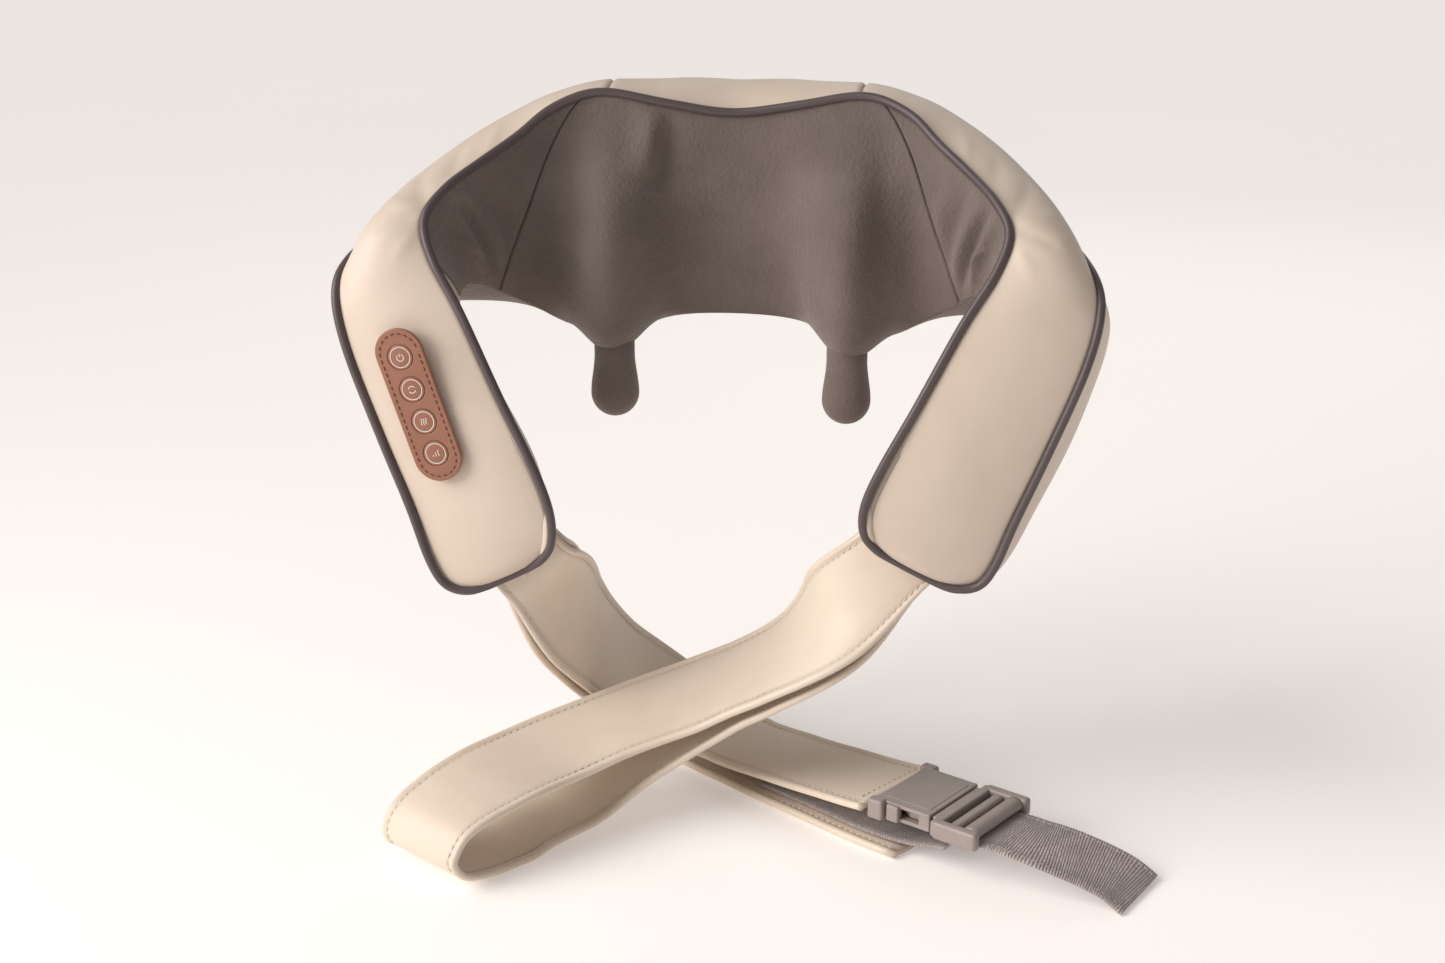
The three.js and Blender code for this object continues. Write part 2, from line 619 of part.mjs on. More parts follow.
function addDrive() {
  addMesh("gearbox_cover", gearboxHalf(GEARBOX_FRONT_Y, WHEEL_Y - 0.2, 1), ABS_DARK, 0.6);
  addMesh("gearbox_base", gearboxHalf(WHEEL_Y + 0.2, GEARBOX_BACK_Y, -1), ABS_DARK, 0.6);
  addMesh("motor", motor(), STEEL, 0.35, 0.9);
  addMesh("drive_worm", worm(), STEEL, 0.35, 0.9);
  addMesh("left_worm_wheel", wormWheel(-1), ACETAL, 0.5);
  addMesh("right_worm_wheel", wormWheel(1), ACETAL, 0.5);
  for (const [name, side] of [["left", -1], ["right", 1]]) {
    const axle = barY(AXLE_RADIUS, side * WHEEL_X, WHEEL_Z, AXLE_FRONT_Y, AXLE_BACK_Y, 20);
    addMesh(`${name}_wheel_axle`, axle, STEEL, 0.3, 0.95);
    const shank = barY(PIVOT_PIN_RADIUS, side * PIVOT_X, PIVOT_Z, PIN_HEAD_BACK_Y - 1.5, PIN_BACK_Y, 16);
    const head = barY(PIN_HEAD_RADIUS, side * PIVOT_X, PIVOT_Z, PIN_HEAD_FRONT_Y, PIN_HEAD_BACK_Y, 20);
    addMesh(`${name}_hand_pivot_pin`, join(shank, head), STEEL, 0.3, 0.95);
  }
  addMesh("chassis_plate", chassisPlate(), ABS_DARK, 0.65);
  addMesh("main_circuit_board", circuitBoard(), CIRCUIT, 0.5);
}

function chassisPlate() {
  const [width, front, back] = [CHASSIS_HALF_WIDTH, CHASSIS_FRONT_Y, CHASSIS_FRONT_Y + CHASSIS_THICKNESS];
  const plate = block([-width, front, CHASSIS_BOTTOM], [width, back, CHASSIS_TOP]);
  const [ribBottom, ribTop] = [CHASSIS_BOTTOM + 6, CHASSIS_TOP - 4];
  const ribs = [-RIB_X, RIB_X].map((x) =>
    block([x - 1, back - 1, ribBottom], [x + 1, back + 3, ribTop]));
  const bosses = [-1, 1].map((side) =>
    barY(BOSS_RADIUS, side * PIVOT_X, PIVOT_Z, BOSS_FRONT_Y, front + 1, 20));
  const bores = [-1, 1].map((side) =>
    barY(PIVOT_PIN_RADIUS + BORE_CLEARANCE, side * PIVOT_X, PIVOT_Z, 120, 151, 16));
  return cut(join(plate, ...ribs, ...bosses), ...bores);
}

function circuitBoard() {
  const [width, top] = [BOARD_HALF_WIDTH, BOARD_TOP];
  const board = block([-width, BOARD_FRONT_Y, BOARD_BOTTOM], [width, BOARD_BACK_Y, top]);
  const parts = [[-24, 132], [0, 146], [22, 134], [24, 154]].map(([x, y]) =>
    block([x - 5, y - 4, top - 0.4], [x + 5, y + 4, top + 2.6]));
  return join(board, ...parts);
}

// ---------------------------------------------------------------- kneading hands
// The ring in which the crank pin runs.
function handRing(side) {
  const ringX = side * WHEEL_X;
  const ring = new THREE.Shape().absarc(ringX, WHEEL_Z, HAND_RING_OUTER, 0, 2 * Math.PI);
  const hole = new THREE.Path().absarc(ringX, WHEEL_Z, HAND_RING_INNER, 0, 2 * Math.PI);
  ring.holes.push(hole);
  return ring;
}

function outline(points) {
  const shape = new THREE.Shape();
  points.forEach(([x, z], i) => (i === 0 ? shape.moveTo(x, z) : shape.lineTo(x, z)));
  shape.closePath();
  return shape;
}

function kneadingHand(side) {
  const [y0, y1] = [HAND_FRONT_Y, HAND_BACK_Y];
  const ring = plateY(handRing(side), y0, y1, 16);
  const lever = [[39, 322], [62, 286], [72, 296], [44, 332]].map(([x, z]) => [side * x, z]);
  const palm = [[50, 292], [79, 292], [76, 344], [53, 344]].map(([x, z]) => [side * x, z]);
  const stem = [[56, 269], [73, 269], [73, 294], [55, 294]].map(([x, z]) => [side * x, z]);
  const plates = [lever, palm, stem].map((points) => plateY(outline(points), y0, y1));
  const shelfX = [side * DOME_X - SHELF_HALF_WIDTH, side * DOME_X + SHELF_HALF_WIDTH];
  const shelfTop = SHELF_BOTTOM + SHELF_THICKNESS;
  const shelf = block([shelfX[0], SHELF_FRONT_Y, SHELF_BOTTOM], [shelfX[1], y1, shelfTop]);
  const bore = barY(PIVOT_PIN_RADIUS + BORE_CLEARANCE, side * PIVOT_X, PIVOT_Z, y0 - 2, y1 + 2, 16);
  return cut(join(ring, ...plates, shelf), bore);
}

function fingerNode(side) {
  const ball = new THREE.SphereGeometry(1, 16, 10).scale(...FINGER_SIZE);
  ball.translate(side * (DOME_X + 1), HAND_FRONT_Y - 0.4, FINGER_Z);
  const behind = block([-100, HAND_FRONT_Y - 0.4, 250], [100, 160, 380]);
  const head = barY(FINGER_PIN_ROOM, side * PIVOT_X, PIVOT_Z, 90, 130, 16);
  return cut(ball, behind, head);
}

function thumb(side) {
  const length = THUMB_TOP - THUMB_TIP;
  const neck = THUMB_NECK_RADIUS;
  const bulb = THUMB_BULB_RADIUS;
  const bulbHeight = THUMB_TIP + bulb;
  const profile = [[0, THUMB_TIP]];
  for (let i = 1; i <= 5; i += 1) {
    const angle = (i / 5) * (Math.PI / 2);
    profile.push([bulb * Math.sin(angle), bulbHeight - bulb * Math.cos(angle)]);
  }
  profile.push([bulb * 0.93, bulbHeight + length * 0.16], [neck, bulbHeight + length * 0.4]);
  profile.push([neck, THUMB_TOP], [0, THUMB_TOP]);
  return turned(profile, side * DOME_X, THUMB_Y, 16);
}

function addHands() {
  for (const [name, side] of [["left", -1], ["right", 1]]) {
    addMesh(`${name}_kneading_hand`, kneadingHand(side), ABS_DARK, 0.6);
    addMesh(`${name}_finger_node`, fingerNode(side), SILICONE, 0.8);
    addMesh(`${name}_thumb`, thumb(side), FABRIC, 0.95);
  }
}

// ---------------------------------------------------------------- arms' contents
const ARM_LEAN = Math.atan2(0.35, 0.937);

// A frame in the arm: X across the arm, Y through it, Z up along it.
function armGroup(side, x, y, z) {
  const group = new THREE.Group();
  group.position.set(side * x, y, z);
  group.rotation.y = side * ARM_LEAN;
  root.add(group);
  return group;
}

function addTo(group, name, geometry, color, roughness = 0.7, metalness = 0) {
  group.add(addMesh(name, geometry, color, roughness, metalness));
}

function addBattery() {
  const arm = armGroup(1, 146, 27, 228);
  const body = new THREE.BoxGeometry(...CASE_SIZE);
  const roomRadius = CELL_RADIUS + CELL_ROOM;
  const roomBottom = CASE_FLOOR - CASE_SIZE[2] / 2;
  const rooms = [-1, 1].map((k) => {
    const room = new THREE.CylinderGeometry(roomRadius, roomRadius, 80, 20).rotateX(Math.PI / 2);
    return room.translate((k * CELL_SPACING) / 2, 0, roomBottom + 40);
  });
  addTo(arm, "battery_case", cut(body, ...rooms), ABS_DARK, 0.6);
  for (const [name, k] of [["inner", -1], ["outer", 1]]) {
    const cell = new THREE.CylinderGeometry(CELL_RADIUS, CELL_RADIUS, CELL_LENGTH, 20);
    cell.rotateX(Math.PI / 2).translate((k * CELL_SPACING) / 2, 0, 0.5);
    addTo(arm, `${name}_battery_cell`, cell, CELL_WRAP, 0.4);
  }
  const board = block([-19, -10, 38.4], [19, 10, 40]);
  addTo(arm, "battery_protection_board", board, CIRCUIT, 0.5);
  addTo(arm, "right_arm_foam", block([-18, -18, -42], [18, -13, 42]), FOAM, 0.95);
}

function addControls() {
  const arm = armGroup(-1, 147, 21, 240);
  const [width, height] = [HOUSING_HALF_WIDTH, HOUSING_HALF_HEIGHT];
  const [roomWidth, roomHeight] = [width - HOUSING_WALL, height - HOUSING_WALL];
  const housing = block([-width, -9, -height], [width, 5, height]);
  const room = block([-roomWidth, -10, -roomHeight], [roomWidth, 5 - HOUSING_WALL, roomHeight]);
  addTo(arm, "control_housing", cut(housing, room), ABS_DARK, 0.6);
  const board = block([-12, -2, -39], [12, -0.4, 39]);
  const switches = [-1.5, -0.5, 0.5, 1.5].map((k) =>
    block([-3, -5, k * BUTTON_PITCH - 3], [3, -1, k * BUTTON_PITCH + 3]));
  addTo(arm, "switch_board", join(board, ...switches), CIRCUIT, 0.5);
  addTo(arm, "left_arm_foam", block([-20, 6, -44], [20, 12, 44]), FOAM, 0.95);
}

// The leather control patch lies on the left arm's face and holds the buttons.
const PATCH_CENTRE = { x: -147.5, z: 241.5, y: -5.6 };
const PATCH_LEAN = -THREE.MathUtils.degToRad(18.5);
const PATCH_TURN = THREE.MathUtils.degToRad(-4.2);

function pill(length, width) {
  const radius = width / 2;
  const straight = length / 2 - radius;
  const shape = new THREE.Shape();
  shape.absarc(0, straight, radius, 0, Math.PI);
  shape.absarc(0, -straight, radius, Math.PI, 2 * Math.PI);
  shape.closePath();
  return shape;
}

function addPatch() {
  const group = new THREE.Group();
  group.position.set(PATCH_CENTRE.x, PATCH_CENTRE.y, PATCH_CENTRE.z);
  group.rotation.set(0, PATCH_LEAN, PATCH_TURN, "ZYX");
  root.add(group);
  const slab = plateY(pill(PATCH_LENGTH, PATCH_WIDTH), 0, PATCH_THICKNESS, 8);
  const heights = Array.from({ length: BUTTON_COUNT }, (_, i) =>
    ((BUTTON_COUNT - 1) / 2 - i) * BUTTON_PITCH);
  const holes = heights.map((z) => barY(BUTTON_RADIUS + 0.35, 0, z, -1, PATCH_THICKNESS + 1, 20));
  addTo(group, "control_patch", cut(slab, ...holes), PATCH, 0.7);
  const names = ["power", "mode", "heat", "speed"];
  heights.forEach((z, i) => {
    const bottom = PATCH_THICKNESS - BUTTON_TRAVEL - 0.2;
    addTo(group, `${names[i]}_button`, barY(BUTTON_RADIUS, 0, z, -0.1, bottom, 20), PATCH, 0.7);
  });
}

// ---------------------------------------------------------------- leads and charging socket
function addLeads() {
  for (const [name, side] of [["left", -1], ["right", 1]]) {
    const route = [[167, 27, 281], [176, 45, 291], [166, 80, 298], [145, 108, 302],
      [118, 130, 306], [92, 142, 312], [72, 148, 322], [56, 150, 330]];
    const points = route.map(([x, y, z]) => new THREE.Vector3(side * x, y, z));
    addMesh(`${name}_arm_lead`, tube(points, 1.6, 22), WIRE, 0.6);
  }
}

const SOCKET_PLACE = [-151, 47.5, 183];
const SOCKET_HALF_WIDTH = 6.5;
const SOCKET_HALF_HEIGHT = 4;

function socketRoom() {
  const [width, height] = [SOCKET_HALF_WIDTH + 0.5, SOCKET_HALF_HEIGHT + 0.5];
  const room = block([-width, -8, -height], [width, 8, height]);
  return room.rotateY(-ARM_LEAN).translate(...SOCKET_PLACE);
}

function addChargeSocket() {
  const group = new THREE.Group();
  group.position.set(...SOCKET_PLACE);
  group.rotation.y = -ARM_LEAN;
  root.add(group);
  const [width, height] = [SOCKET_HALF_WIDTH, SOCKET_HALF_HEIGHT];
  const shell = block([-width, -5, -height], [width, 3.4, height]);
  const mouth = block([-4.6, -1, -1.7], [4.6, 5, 1.7]);
  addTo(group, "charge_socket", cut(shell, mouth), ABS_DARK, 0.5);
}

// ---------------------------------------------------------------- buckle
// Local frame: X along the pull, Y across the strap, Z up; the strap ends at X = 0.
const BUCKLE_PLACE = new THREE.Vector3(103.5, 27.5, 24);
const BUCKLE_LENGTH = 34;
const BUCKLE_HALF_WIDTH = 24;
const BUCKLE_HALF_HEIGHT = 5;
const BUCKLE_WALL = 3;
const ROOM_HALF_HEIGHT = 2.6;
const PLUG_GAP = 0.6;
const PLUG_HALF_HEIGHT = 4.5;
const PLUG_LENGTH = 64;
const RAIL_Y = 25.5;
const RAIL_HALF_WIDTH = 2.5;
const CROSSBAR = 4;
const PRONG_Y = 14;
const PRONG_THICKNESS = 3.8;
const ADJUSTER_RADIUS = 2.6;
const PRONG_OUTLINE = [
  [32.4, 11],
  [32.4, 17],
  [27.6, 18.2],
  [26.4, 20.6],
  [20, 20.6],
  [11, 16],
  [11, 13],
];

function buckleGroup() {
  const group = new THREE.Group();
  group.position.copy(BUCKLE_PLACE);
  group.rotation.z = BUCKLE_HEADING;
  root.add(group);
  return group;
}

function buckleSocket() {
  const [width, height] = [BUCKLE_HALF_WIDTH, BUCKLE_HALF_HEIGHT];
  const inside = width - BUCKLE_WALL;
  const shell = block([0, -width, -height], [BUCKLE_LENGTH, width, height]);
  const room = block([8, -inside, -ROOM_HALF_HEIGHT], [40, inside, ROOM_HALF_HEIGHT]);
  const windows = block([15, -40, -ROOM_HALF_HEIGHT], [27, 40, ROOM_HALF_HEIGHT]);
  const strapSlot = block([2.5, -inside, -7], [5.5, inside, 7]);
  return cut(shell, room, windows, strapSlot);
}

function bucklePlug() {
  const height = PLUG_HALF_HEIGHT;
  const width = RAIL_Y + RAIL_HALF_WIDTH;
  const base = block([BUCKLE_LENGTH + PLUG_GAP, -22, -height], [42, 22, height]);
  const tongue = block([12, -3, -1.8], [36, 3, 1.8]);
  const roots = [-1, 1].map((k) => block([33, k * PRONG_Y - 3.2, -2], [36, k * PRONG_Y + 3.2, 2]));
  const rails = [-1, 1].map((k) => {
    const middle = k * RAIL_Y;
    const [near, far] = [middle - RAIL_HALF_WIDTH, middle + RAIL_HALF_WIDTH];
    return block([40, near, -height], [PLUG_LENGTH, far, height]);
  });
  const bridge = block([42 - CROSSBAR, -width, -height], [42, width, height]);
  const firstBar = block([47, -24, height - 4.5], [47 + CROSSBAR, 24, height]);
  const lastBar = block([PLUG_LENGTH - CROSSBAR, -24, -height], [PLUG_LENGTH, 24, CROSSBAR - height]);
  return join(base, tongue, ...roots, ...rails, bridge, firstBar, lastBar);
}

function prong(side) {
  const shape = outline(PRONG_OUTLINE.map(([x, y]) => [x, side * y]));
  const options = { depth: PRONG_THICKNESS, bevelEnabled: false };
  return new THREE.ExtrudeGeometry(shape, options).translate(0, 0, -PRONG_THICKNESS / 2);
}

function addBuckle() {
  const group = buckleGroup();
  addTo(group, "buckle_socket", buckleSocket(), ABS_GREY, 0.55);
  addTo(group, "buckle_plug", bucklePlug(), ABS_GREY, 0.55);
  addTo(group, "near_prong", prong(-1), ABS_GREY, 0.55);
  addTo(group, "far_prong", prong(1), ABS_GREY, 0.55);
  const barLength = 2 * (RAIL_Y - RAIL_HALF_WIDTH - BORE_CLEARANCE) - 0.2;
  const bar = new THREE.CylinderGeometry(ADJUSTER_RADIUS, ADJUSTER_RADIUS, barLength, 16);
  bar.translate(55.5, 0, 1.5);
  addTo(group, "adjuster_bar", bar, ABS_GREY, 0.55);
}

// ---------------------------------------------------------------- assembly
addCovers();
addPiping();
addDrive();
addHands();
addBattery();
addControls();
addPatch();
addLeads();
addChargeSocket();
addStraps();
addBuckle();

// The origin is the middle of the bottom of the object's bounding box.
root.updateMatrixWorld(true);
const extent = new THREE.Box3().setFromObject(root, true);
const massager = new THREE.Group();
const middle = extent.getCenter(new THREE.Vector3());
massager.position.set(-middle.x, -middle.y, -extent.min.z);
massager.add(root);

export default massager;
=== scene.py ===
import json
import math

import bmesh
import bpy
import numpy as np
from mathutils import Matrix, Vector


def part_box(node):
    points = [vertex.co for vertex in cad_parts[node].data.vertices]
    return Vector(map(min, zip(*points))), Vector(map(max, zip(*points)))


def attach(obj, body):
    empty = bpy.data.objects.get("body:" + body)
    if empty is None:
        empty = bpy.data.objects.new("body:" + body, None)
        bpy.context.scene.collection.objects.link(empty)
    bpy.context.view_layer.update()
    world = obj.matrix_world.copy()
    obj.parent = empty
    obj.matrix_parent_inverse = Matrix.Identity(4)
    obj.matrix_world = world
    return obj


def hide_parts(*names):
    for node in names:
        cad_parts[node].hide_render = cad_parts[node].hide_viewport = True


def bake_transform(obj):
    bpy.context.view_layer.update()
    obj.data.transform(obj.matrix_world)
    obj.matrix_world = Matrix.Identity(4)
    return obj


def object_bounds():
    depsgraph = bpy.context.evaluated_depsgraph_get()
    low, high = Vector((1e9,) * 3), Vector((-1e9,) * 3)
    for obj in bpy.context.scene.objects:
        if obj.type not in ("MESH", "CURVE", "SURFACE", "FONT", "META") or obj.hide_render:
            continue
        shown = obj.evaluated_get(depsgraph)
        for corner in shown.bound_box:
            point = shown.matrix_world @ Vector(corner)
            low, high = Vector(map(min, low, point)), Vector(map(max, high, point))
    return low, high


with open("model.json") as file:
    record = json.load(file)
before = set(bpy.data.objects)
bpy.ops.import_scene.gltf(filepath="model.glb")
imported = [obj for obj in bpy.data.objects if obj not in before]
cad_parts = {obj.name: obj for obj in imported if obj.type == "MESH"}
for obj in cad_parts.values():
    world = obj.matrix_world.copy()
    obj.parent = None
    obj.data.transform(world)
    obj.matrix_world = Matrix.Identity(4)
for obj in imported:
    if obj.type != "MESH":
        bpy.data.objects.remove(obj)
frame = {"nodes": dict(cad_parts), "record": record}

CAD_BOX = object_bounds()

# The looks of the shiatsu neck massager. Shapes are worked out in the part's own
# millimetres, whose zero is found from the two thumbs, and placed in metres.
MM = 0.001
DOME_X = 64.5
THUMB_Y = 99.0
THUMB_TIP = 210.0

left_thumb_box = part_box("left_thumb")
right_thumb_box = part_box("right_thumb")
ZERO = np.array([
    (left_thumb_box[0].x + right_thumb_box[1].x) / 2,
    (left_thumb_box[0].y + left_thumb_box[1].y) / 2 - THUMB_Y * MM,
    left_thumb_box[0].z - THUMB_TIP * MM,
])


def place(points):
    """Millimetres of the part to metres of the frame."""
    return ZERO + MM * np.asarray(points, float)


# ---------------------------------------------------------------- small mathematics
def smoothstep(x, low, high):
    t = np.clip((x - low) / (high - low), 0, 1)
    return t * t * (3 - 2 * t)


def unit(vectors):
    length = np.linalg.norm(vectors, axis=-1, keepdims=True)
    return vectors / np.maximum(length, 1e-9)


def dot(a, b):
    return np.sum(a * b, axis=-1, keepdims=True)


def spline(points, t, even):
    """Places along a Catmull-Rom curve: even spacing, or centripetal."""
    points = np.asarray(points, float)
    padded = np.vstack([2 * points[0] - points[1], points, 2 * points[-1] - points[-2]])
    spans = len(points) - 1
    k = np.minimum((t * spans).astype(int), spans - 1)
    w = (t * spans - k)[..., None]
    a, b, c, d = padded[k], padded[k + 1], padded[k + 2], padded[k + 3]
    if even:
        start, end = (c - a) / 2, (d - b) / 2
    else:
        ab, bc, cd = [np.sqrt(np.linalg.norm(q - p, axis=-1, keepdims=True))
                      for p, q in ((a, b), (b, c), (c, d))]
        bc = np.where(bc < 1e-2, 1, bc)
        ab, cd = np.where(ab < 1e-2, bc, ab), np.where(cd < 1e-2, bc, cd)
        start = ((b - a) / ab - (c - a) / (ab + bc) + (c - b) / bc) * bc
        end = ((c - b) / bc - (d - b) / (bc + cd) + (d - c) / cd) * bc
    square = -3 * b + 3 * c - 2 * start - end
    cube = 2 * b - 2 * c + start + end
    return b + start * w + square * w ** 2 + cube * w ** 3


# ---------------------------------------------------------------- materials
def new_material(name, color, roughness, metallic=0.0, sheen=0.0, coat=0.0):
    material = bpy.data.materials.new(name)
    material.use_nodes = True
    shader = material.node_tree.nodes["Principled BSDF"]
    shader.inputs["Base Color"].default_value = (*color, 1)
    shader.inputs["Roughness"].default_value = roughness
    shader.inputs["Metallic"].default_value = metallic
    shader.inputs["Sheen Weight"].default_value = sheen
    shader.inputs["Sheen Roughness"].default_value = 0.45
    shader.inputs["Coat Weight"].default_value = coat
    return material


def node(material, kind, **settings):
    made = material.node_tree.nodes.new(kind)
    for key, value in settings.items():
        if key in made.inputs:
            made.inputs[key].default_value = value
        else:
            setattr(made, key, value)
    return made


def link(material, source, target):
    material.node_tree.links.new(source, target)


def shader_of(material):
    return material.node_tree.nodes["Principled BSDF"]


def noise(material, scale, detail=4.0, roughness=0.55):
    texture = node(material, "ShaderNodeTexNoise", Scale=scale, Detail=detail, Roughness=roughness)
    coordinates = node(material, "ShaderNodeTexCoord")
    link(material, coordinates.outputs["Object"], texture.inputs["Vector"])
    return texture.outputs["Fac"]


def cells(material, scale):
    texture = node(material, "ShaderNodeTexVoronoi", Scale=scale)
    coordinates = node(material, "ShaderNodeTexCoord")
    link(material, coordinates.outputs["Object"], texture.inputs["Vector"])
    return texture.outputs["Distance"]


def ranged(material, source, low, high):
    mapped = node(material, "ShaderNodeMapRange")
    mapped.inputs["To Min"].default_value = low
    mapped.inputs["To Max"].default_value = high
    link(material, source, mapped.inputs["Value"])
    return mapped.outputs["Result"]


def vary_color(material, dark, light, scale, seams=True):
    """Slow colour variation, times the mesh's shade attribute: painted shade, darker where a seam lies."""
    ramp = node(material, "ShaderNodeMix", data_type="RGBA")
    ramp.inputs["A"].default_value = (*dark, 1)
    ramp.inputs["B"].default_value = (*light, 1)
    link(material, ranged(material, noise(material, scale), -0.2, 1.2), ramp.inputs["Factor"])
    color = ramp.outputs["Result"]
    if seams:
        # The shade attribute paints shade into the colour: darker in the creases beside seams and stitch
        # lanes.
        painted_seam_shade = node(material, "ShaderNodeAttribute", attribute_name="shade")
        shaded = node(material, "ShaderNodeMix", data_type="RGBA", blend_type="MULTIPLY")
        shaded.inputs["Factor"].default_value = 1.0
        link(material, color, shaded.inputs["A"])
        link(material, painted_seam_shade.outputs["Fac"], shaded.inputs["B"])
        color = shaded.outputs["Result"]
    link(material, color, shader_of(material).inputs["Base Color"])


def vary_roughness(material, low, high, scale):
    rough = ranged(material, noise(material, scale), low, high)
    link(material, rough, shader_of(material).inputs["Roughness"])


def emboss(material, heights):
    """Bump from a list of (height, strength, depth in metres), one over another."""
    last = None
    for height, strength, depth in heights:
        bump = node(material, "ShaderNodeBump", Strength=strength, Distance=depth)
        link(material, height, bump.inputs["Height"])
        if last is not None:
            link(material, last, bump.inputs["Normal"])
        last = bump.outputs["Normal"]
    link(material, last, shader_of(material).inputs["Normal"])


def leather(name, dark, light, roughness=0.5):
    material = new_material(name, light, roughness, sheen=0.08, coat=0.04)
    vary_color(material, dark, light, 22)
    vary_roughness(material, roughness - 0.07, roughness + 0.09, 90)
    emboss(material, [
        (cells(material, 1500), 0.20, 0.00010),
        (noise(material, 420, 5), 0.16, 0.00025),
        (noise(material, 34, 2), 0.22, 0.0012),
    ])
    return material


def suede(name, dark, light, seams=True):
    material = new_material(name, light, 0.9, sheen=0.35)
    shader_of(material).inputs["Sheen Tint"].default_value = (0.9, 0.84, 0.8, 1)
    vary_color(material, dark, light, 30, seams)
    vary_roughness(material, 0.82, 0.97, 200)
    emboss(material, [
        (noise(material, 1500, 6, 0.7), 0.6, 0.0003),
        (noise(material, 420, 3, 0.6), 0.75, 0.0011),
        (noise(material, 60, 3), 0.18, 0.0009),
    ])
    return material


def plastic(name, dark, light, roughness):
    material = new_material(name, light, roughness)
    vary_color(material, dark, light, 60, seams=False)
    vary_roughness(material, roughness - 0.05, roughness + 0.07, 300)
    emboss(material, [(noise(material, 2600, 3), 0.16, 0.00006)])
    return material


def metal(name, dark, light, roughness):
    material = new_material(name, light, roughness, metallic=1.0)
    vary_color(material, dark, light, 120, seams=False)
    vary_roughness(material, roughness - 0.08, roughness + 0.1, 700)
    emboss(material, [(noise(material, 1800, 5), 0.1, 0.00005)])
    return material


def ribbed(name, dark, light, rib):
    """Woven webbing: ribs across the band, counted along the mesh's own UV length."""
    material = new_material(name, light, 0.88, sheen=0.25)
    vary_color(material, dark, light, 150)
    coordinates = node(material, "ShaderNodeTexCoord")
    wave = node(material, "ShaderNodeTexWave", Scale=1 / rib, Distortion=2.6, Detail=2.0)
    wave.bands_direction = "X"
    wave.inputs["Detail Scale"].default_value = 3.0
    link(material, coordinates.outputs["UV"], wave.inputs["Vector"])
    emboss(material, [
        (wave.outputs["Fac"], 0.9, 0.0009),
        (noise(material, 2200, 4), 0.3, 0.00012),
    ])
    return material


CREAM = leather("cream_leather", (0.585, 0.483, 0.392), (0.690, 0.582, 0.485))
STRAP = leather("strap_leather", (0.655, 0.545, 0.440), (0.765, 0.655, 0.540), 0.46)
SUEDE = suede("stretch_fabric", (0.120, 0.090, 0.079), (0.178, 0.138, 0.124))
PIPING = leather("piping", (0.060, 0.042, 0.043), (0.105, 0.077, 0.077), 0.42)
PATCH = leather("brown_leather", (0.235, 0.093, 0.052), (0.335, 0.145, 0.088), 0.5)
WEBBING = ribbed("webbing", (0.360, 0.297, 0.284), (0.560, 0.478, 0.460), 0.0045)
BUCKLE = plastic("buckle_plastic", (0.290, 0.238, 0.219), (0.345, 0.288, 0.268), 0.4)
THREAD = suede("cream_thread", (0.60, 0.50, 0.38), (0.78, 0.69, 0.57))
BROWN_THREAD = suede("brown_thread", (0.09, 0.035, 0.02), (0.15, 0.06, 0.035))
PRINT = plastic("icon_print", (0.70, 0.66, 0.62), (0.82, 0.78, 0.74), 0.55)
DARK = plastic("dark_plastic", (0.022, 0.022, 0.024), (0.036, 0.036, 0.040), 0.5)

INSIDE = {
    "dark_plastic": DARK,
    "steel": metal("steel", (0.42, 0.42, 0.44), (0.58, 0.58, 0.60), 0.3),
    "acetal": plastic("acetal", (0.72, 0.69, 0.62), (0.82, 0.80, 0.74), 0.4),
    "node_rubber": suede("node_rubber", (0.13, 0.11, 0.10), (0.18, 0.15, 0.14), seams=False),
    "cell_wrap": plastic("cell_wrap", (0.04, 0.12, 0.30), (0.07, 0.18, 0.42), 0.3),
    "circuit_board": plastic("circuit_board", (0.02, 0.14, 0.06), (0.04, 0.20, 0.09), 0.4),
    "foam": suede("foam", (0.52, 0.49, 0.43), (0.64, 0.60, 0.53), seams=False),
    "wire": plastic("wire", (0.015, 0.015, 0.018), (0.03, 0.03, 0.034), 0.5),
}


def finish_inside():
    """The parts under the covers keep their CAD shapes and take their materials."""
    for part in frame["record"]["subparts"]:
        material = INSIDE.get(part["material_slot"])
        if material is None:
            continue
        mesh = frame["nodes"][part["node"]].data
        mesh.materials.clear()
        mesh.materials.append(material)


# ---------------------------------------------------------------- making pieces
def add_piece(name, points, faces, material, body="frame", stands_for=()):
    """A smooth mesh piece whose points are in the part's millimetres."""
    mesh = bpy.data.meshes.new(name)
    mesh.from_pydata(place(points).tolist(), [], faces)
    mesh.materials.append(material)
    mesh.polygons.foreach_set("use_smooth", [True] * len(mesh.polygons))
    bm = bmesh.new()
    bm.from_mesh(mesh)
    bmesh.ops.recalc_face_normals(bm, faces=bm.faces)
    bm.to_mesh(mesh)
    bm.free()
    piece = bpy.data.objects.new(name, mesh)
    bpy.context.collection.objects.link(piece)
    if body:
        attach(piece, body)
    if stands_for:
        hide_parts(*stands_for)
    return piece


def set_shade(piece, values):
    attribute = piece.data.attributes.new("shade", "FLOAT", "POINT")
    attribute.data.foreach_set("value", np.asarray(values, np.float32).ravel())


def set_even_shade(piece):
    set_shade(piece, np.ones(len(piece.data.vertices)))


def grid_faces(rows, columns, first=0, wrap=False):
    faces = []
    for i in range(rows - 1):
        for j in range(columns if wrap else columns - 1):
            k = (j + 1) % columns
            a, b = first + i * columns + j, first + i * columns + k
            faces.append((a, b, b + columns, a + columns))
    return faces


def capped_faces(rows, columns, first=0):
    """Rings joined into a tube and closed at both ends."""
    faces = grid_faces(rows, columns, first, wrap=True)
    faces.append(tuple(range(first, first + columns)))
    faces.append(tuple(range(first + (rows - 1) * columns, first + rows * columns)))
    return faces


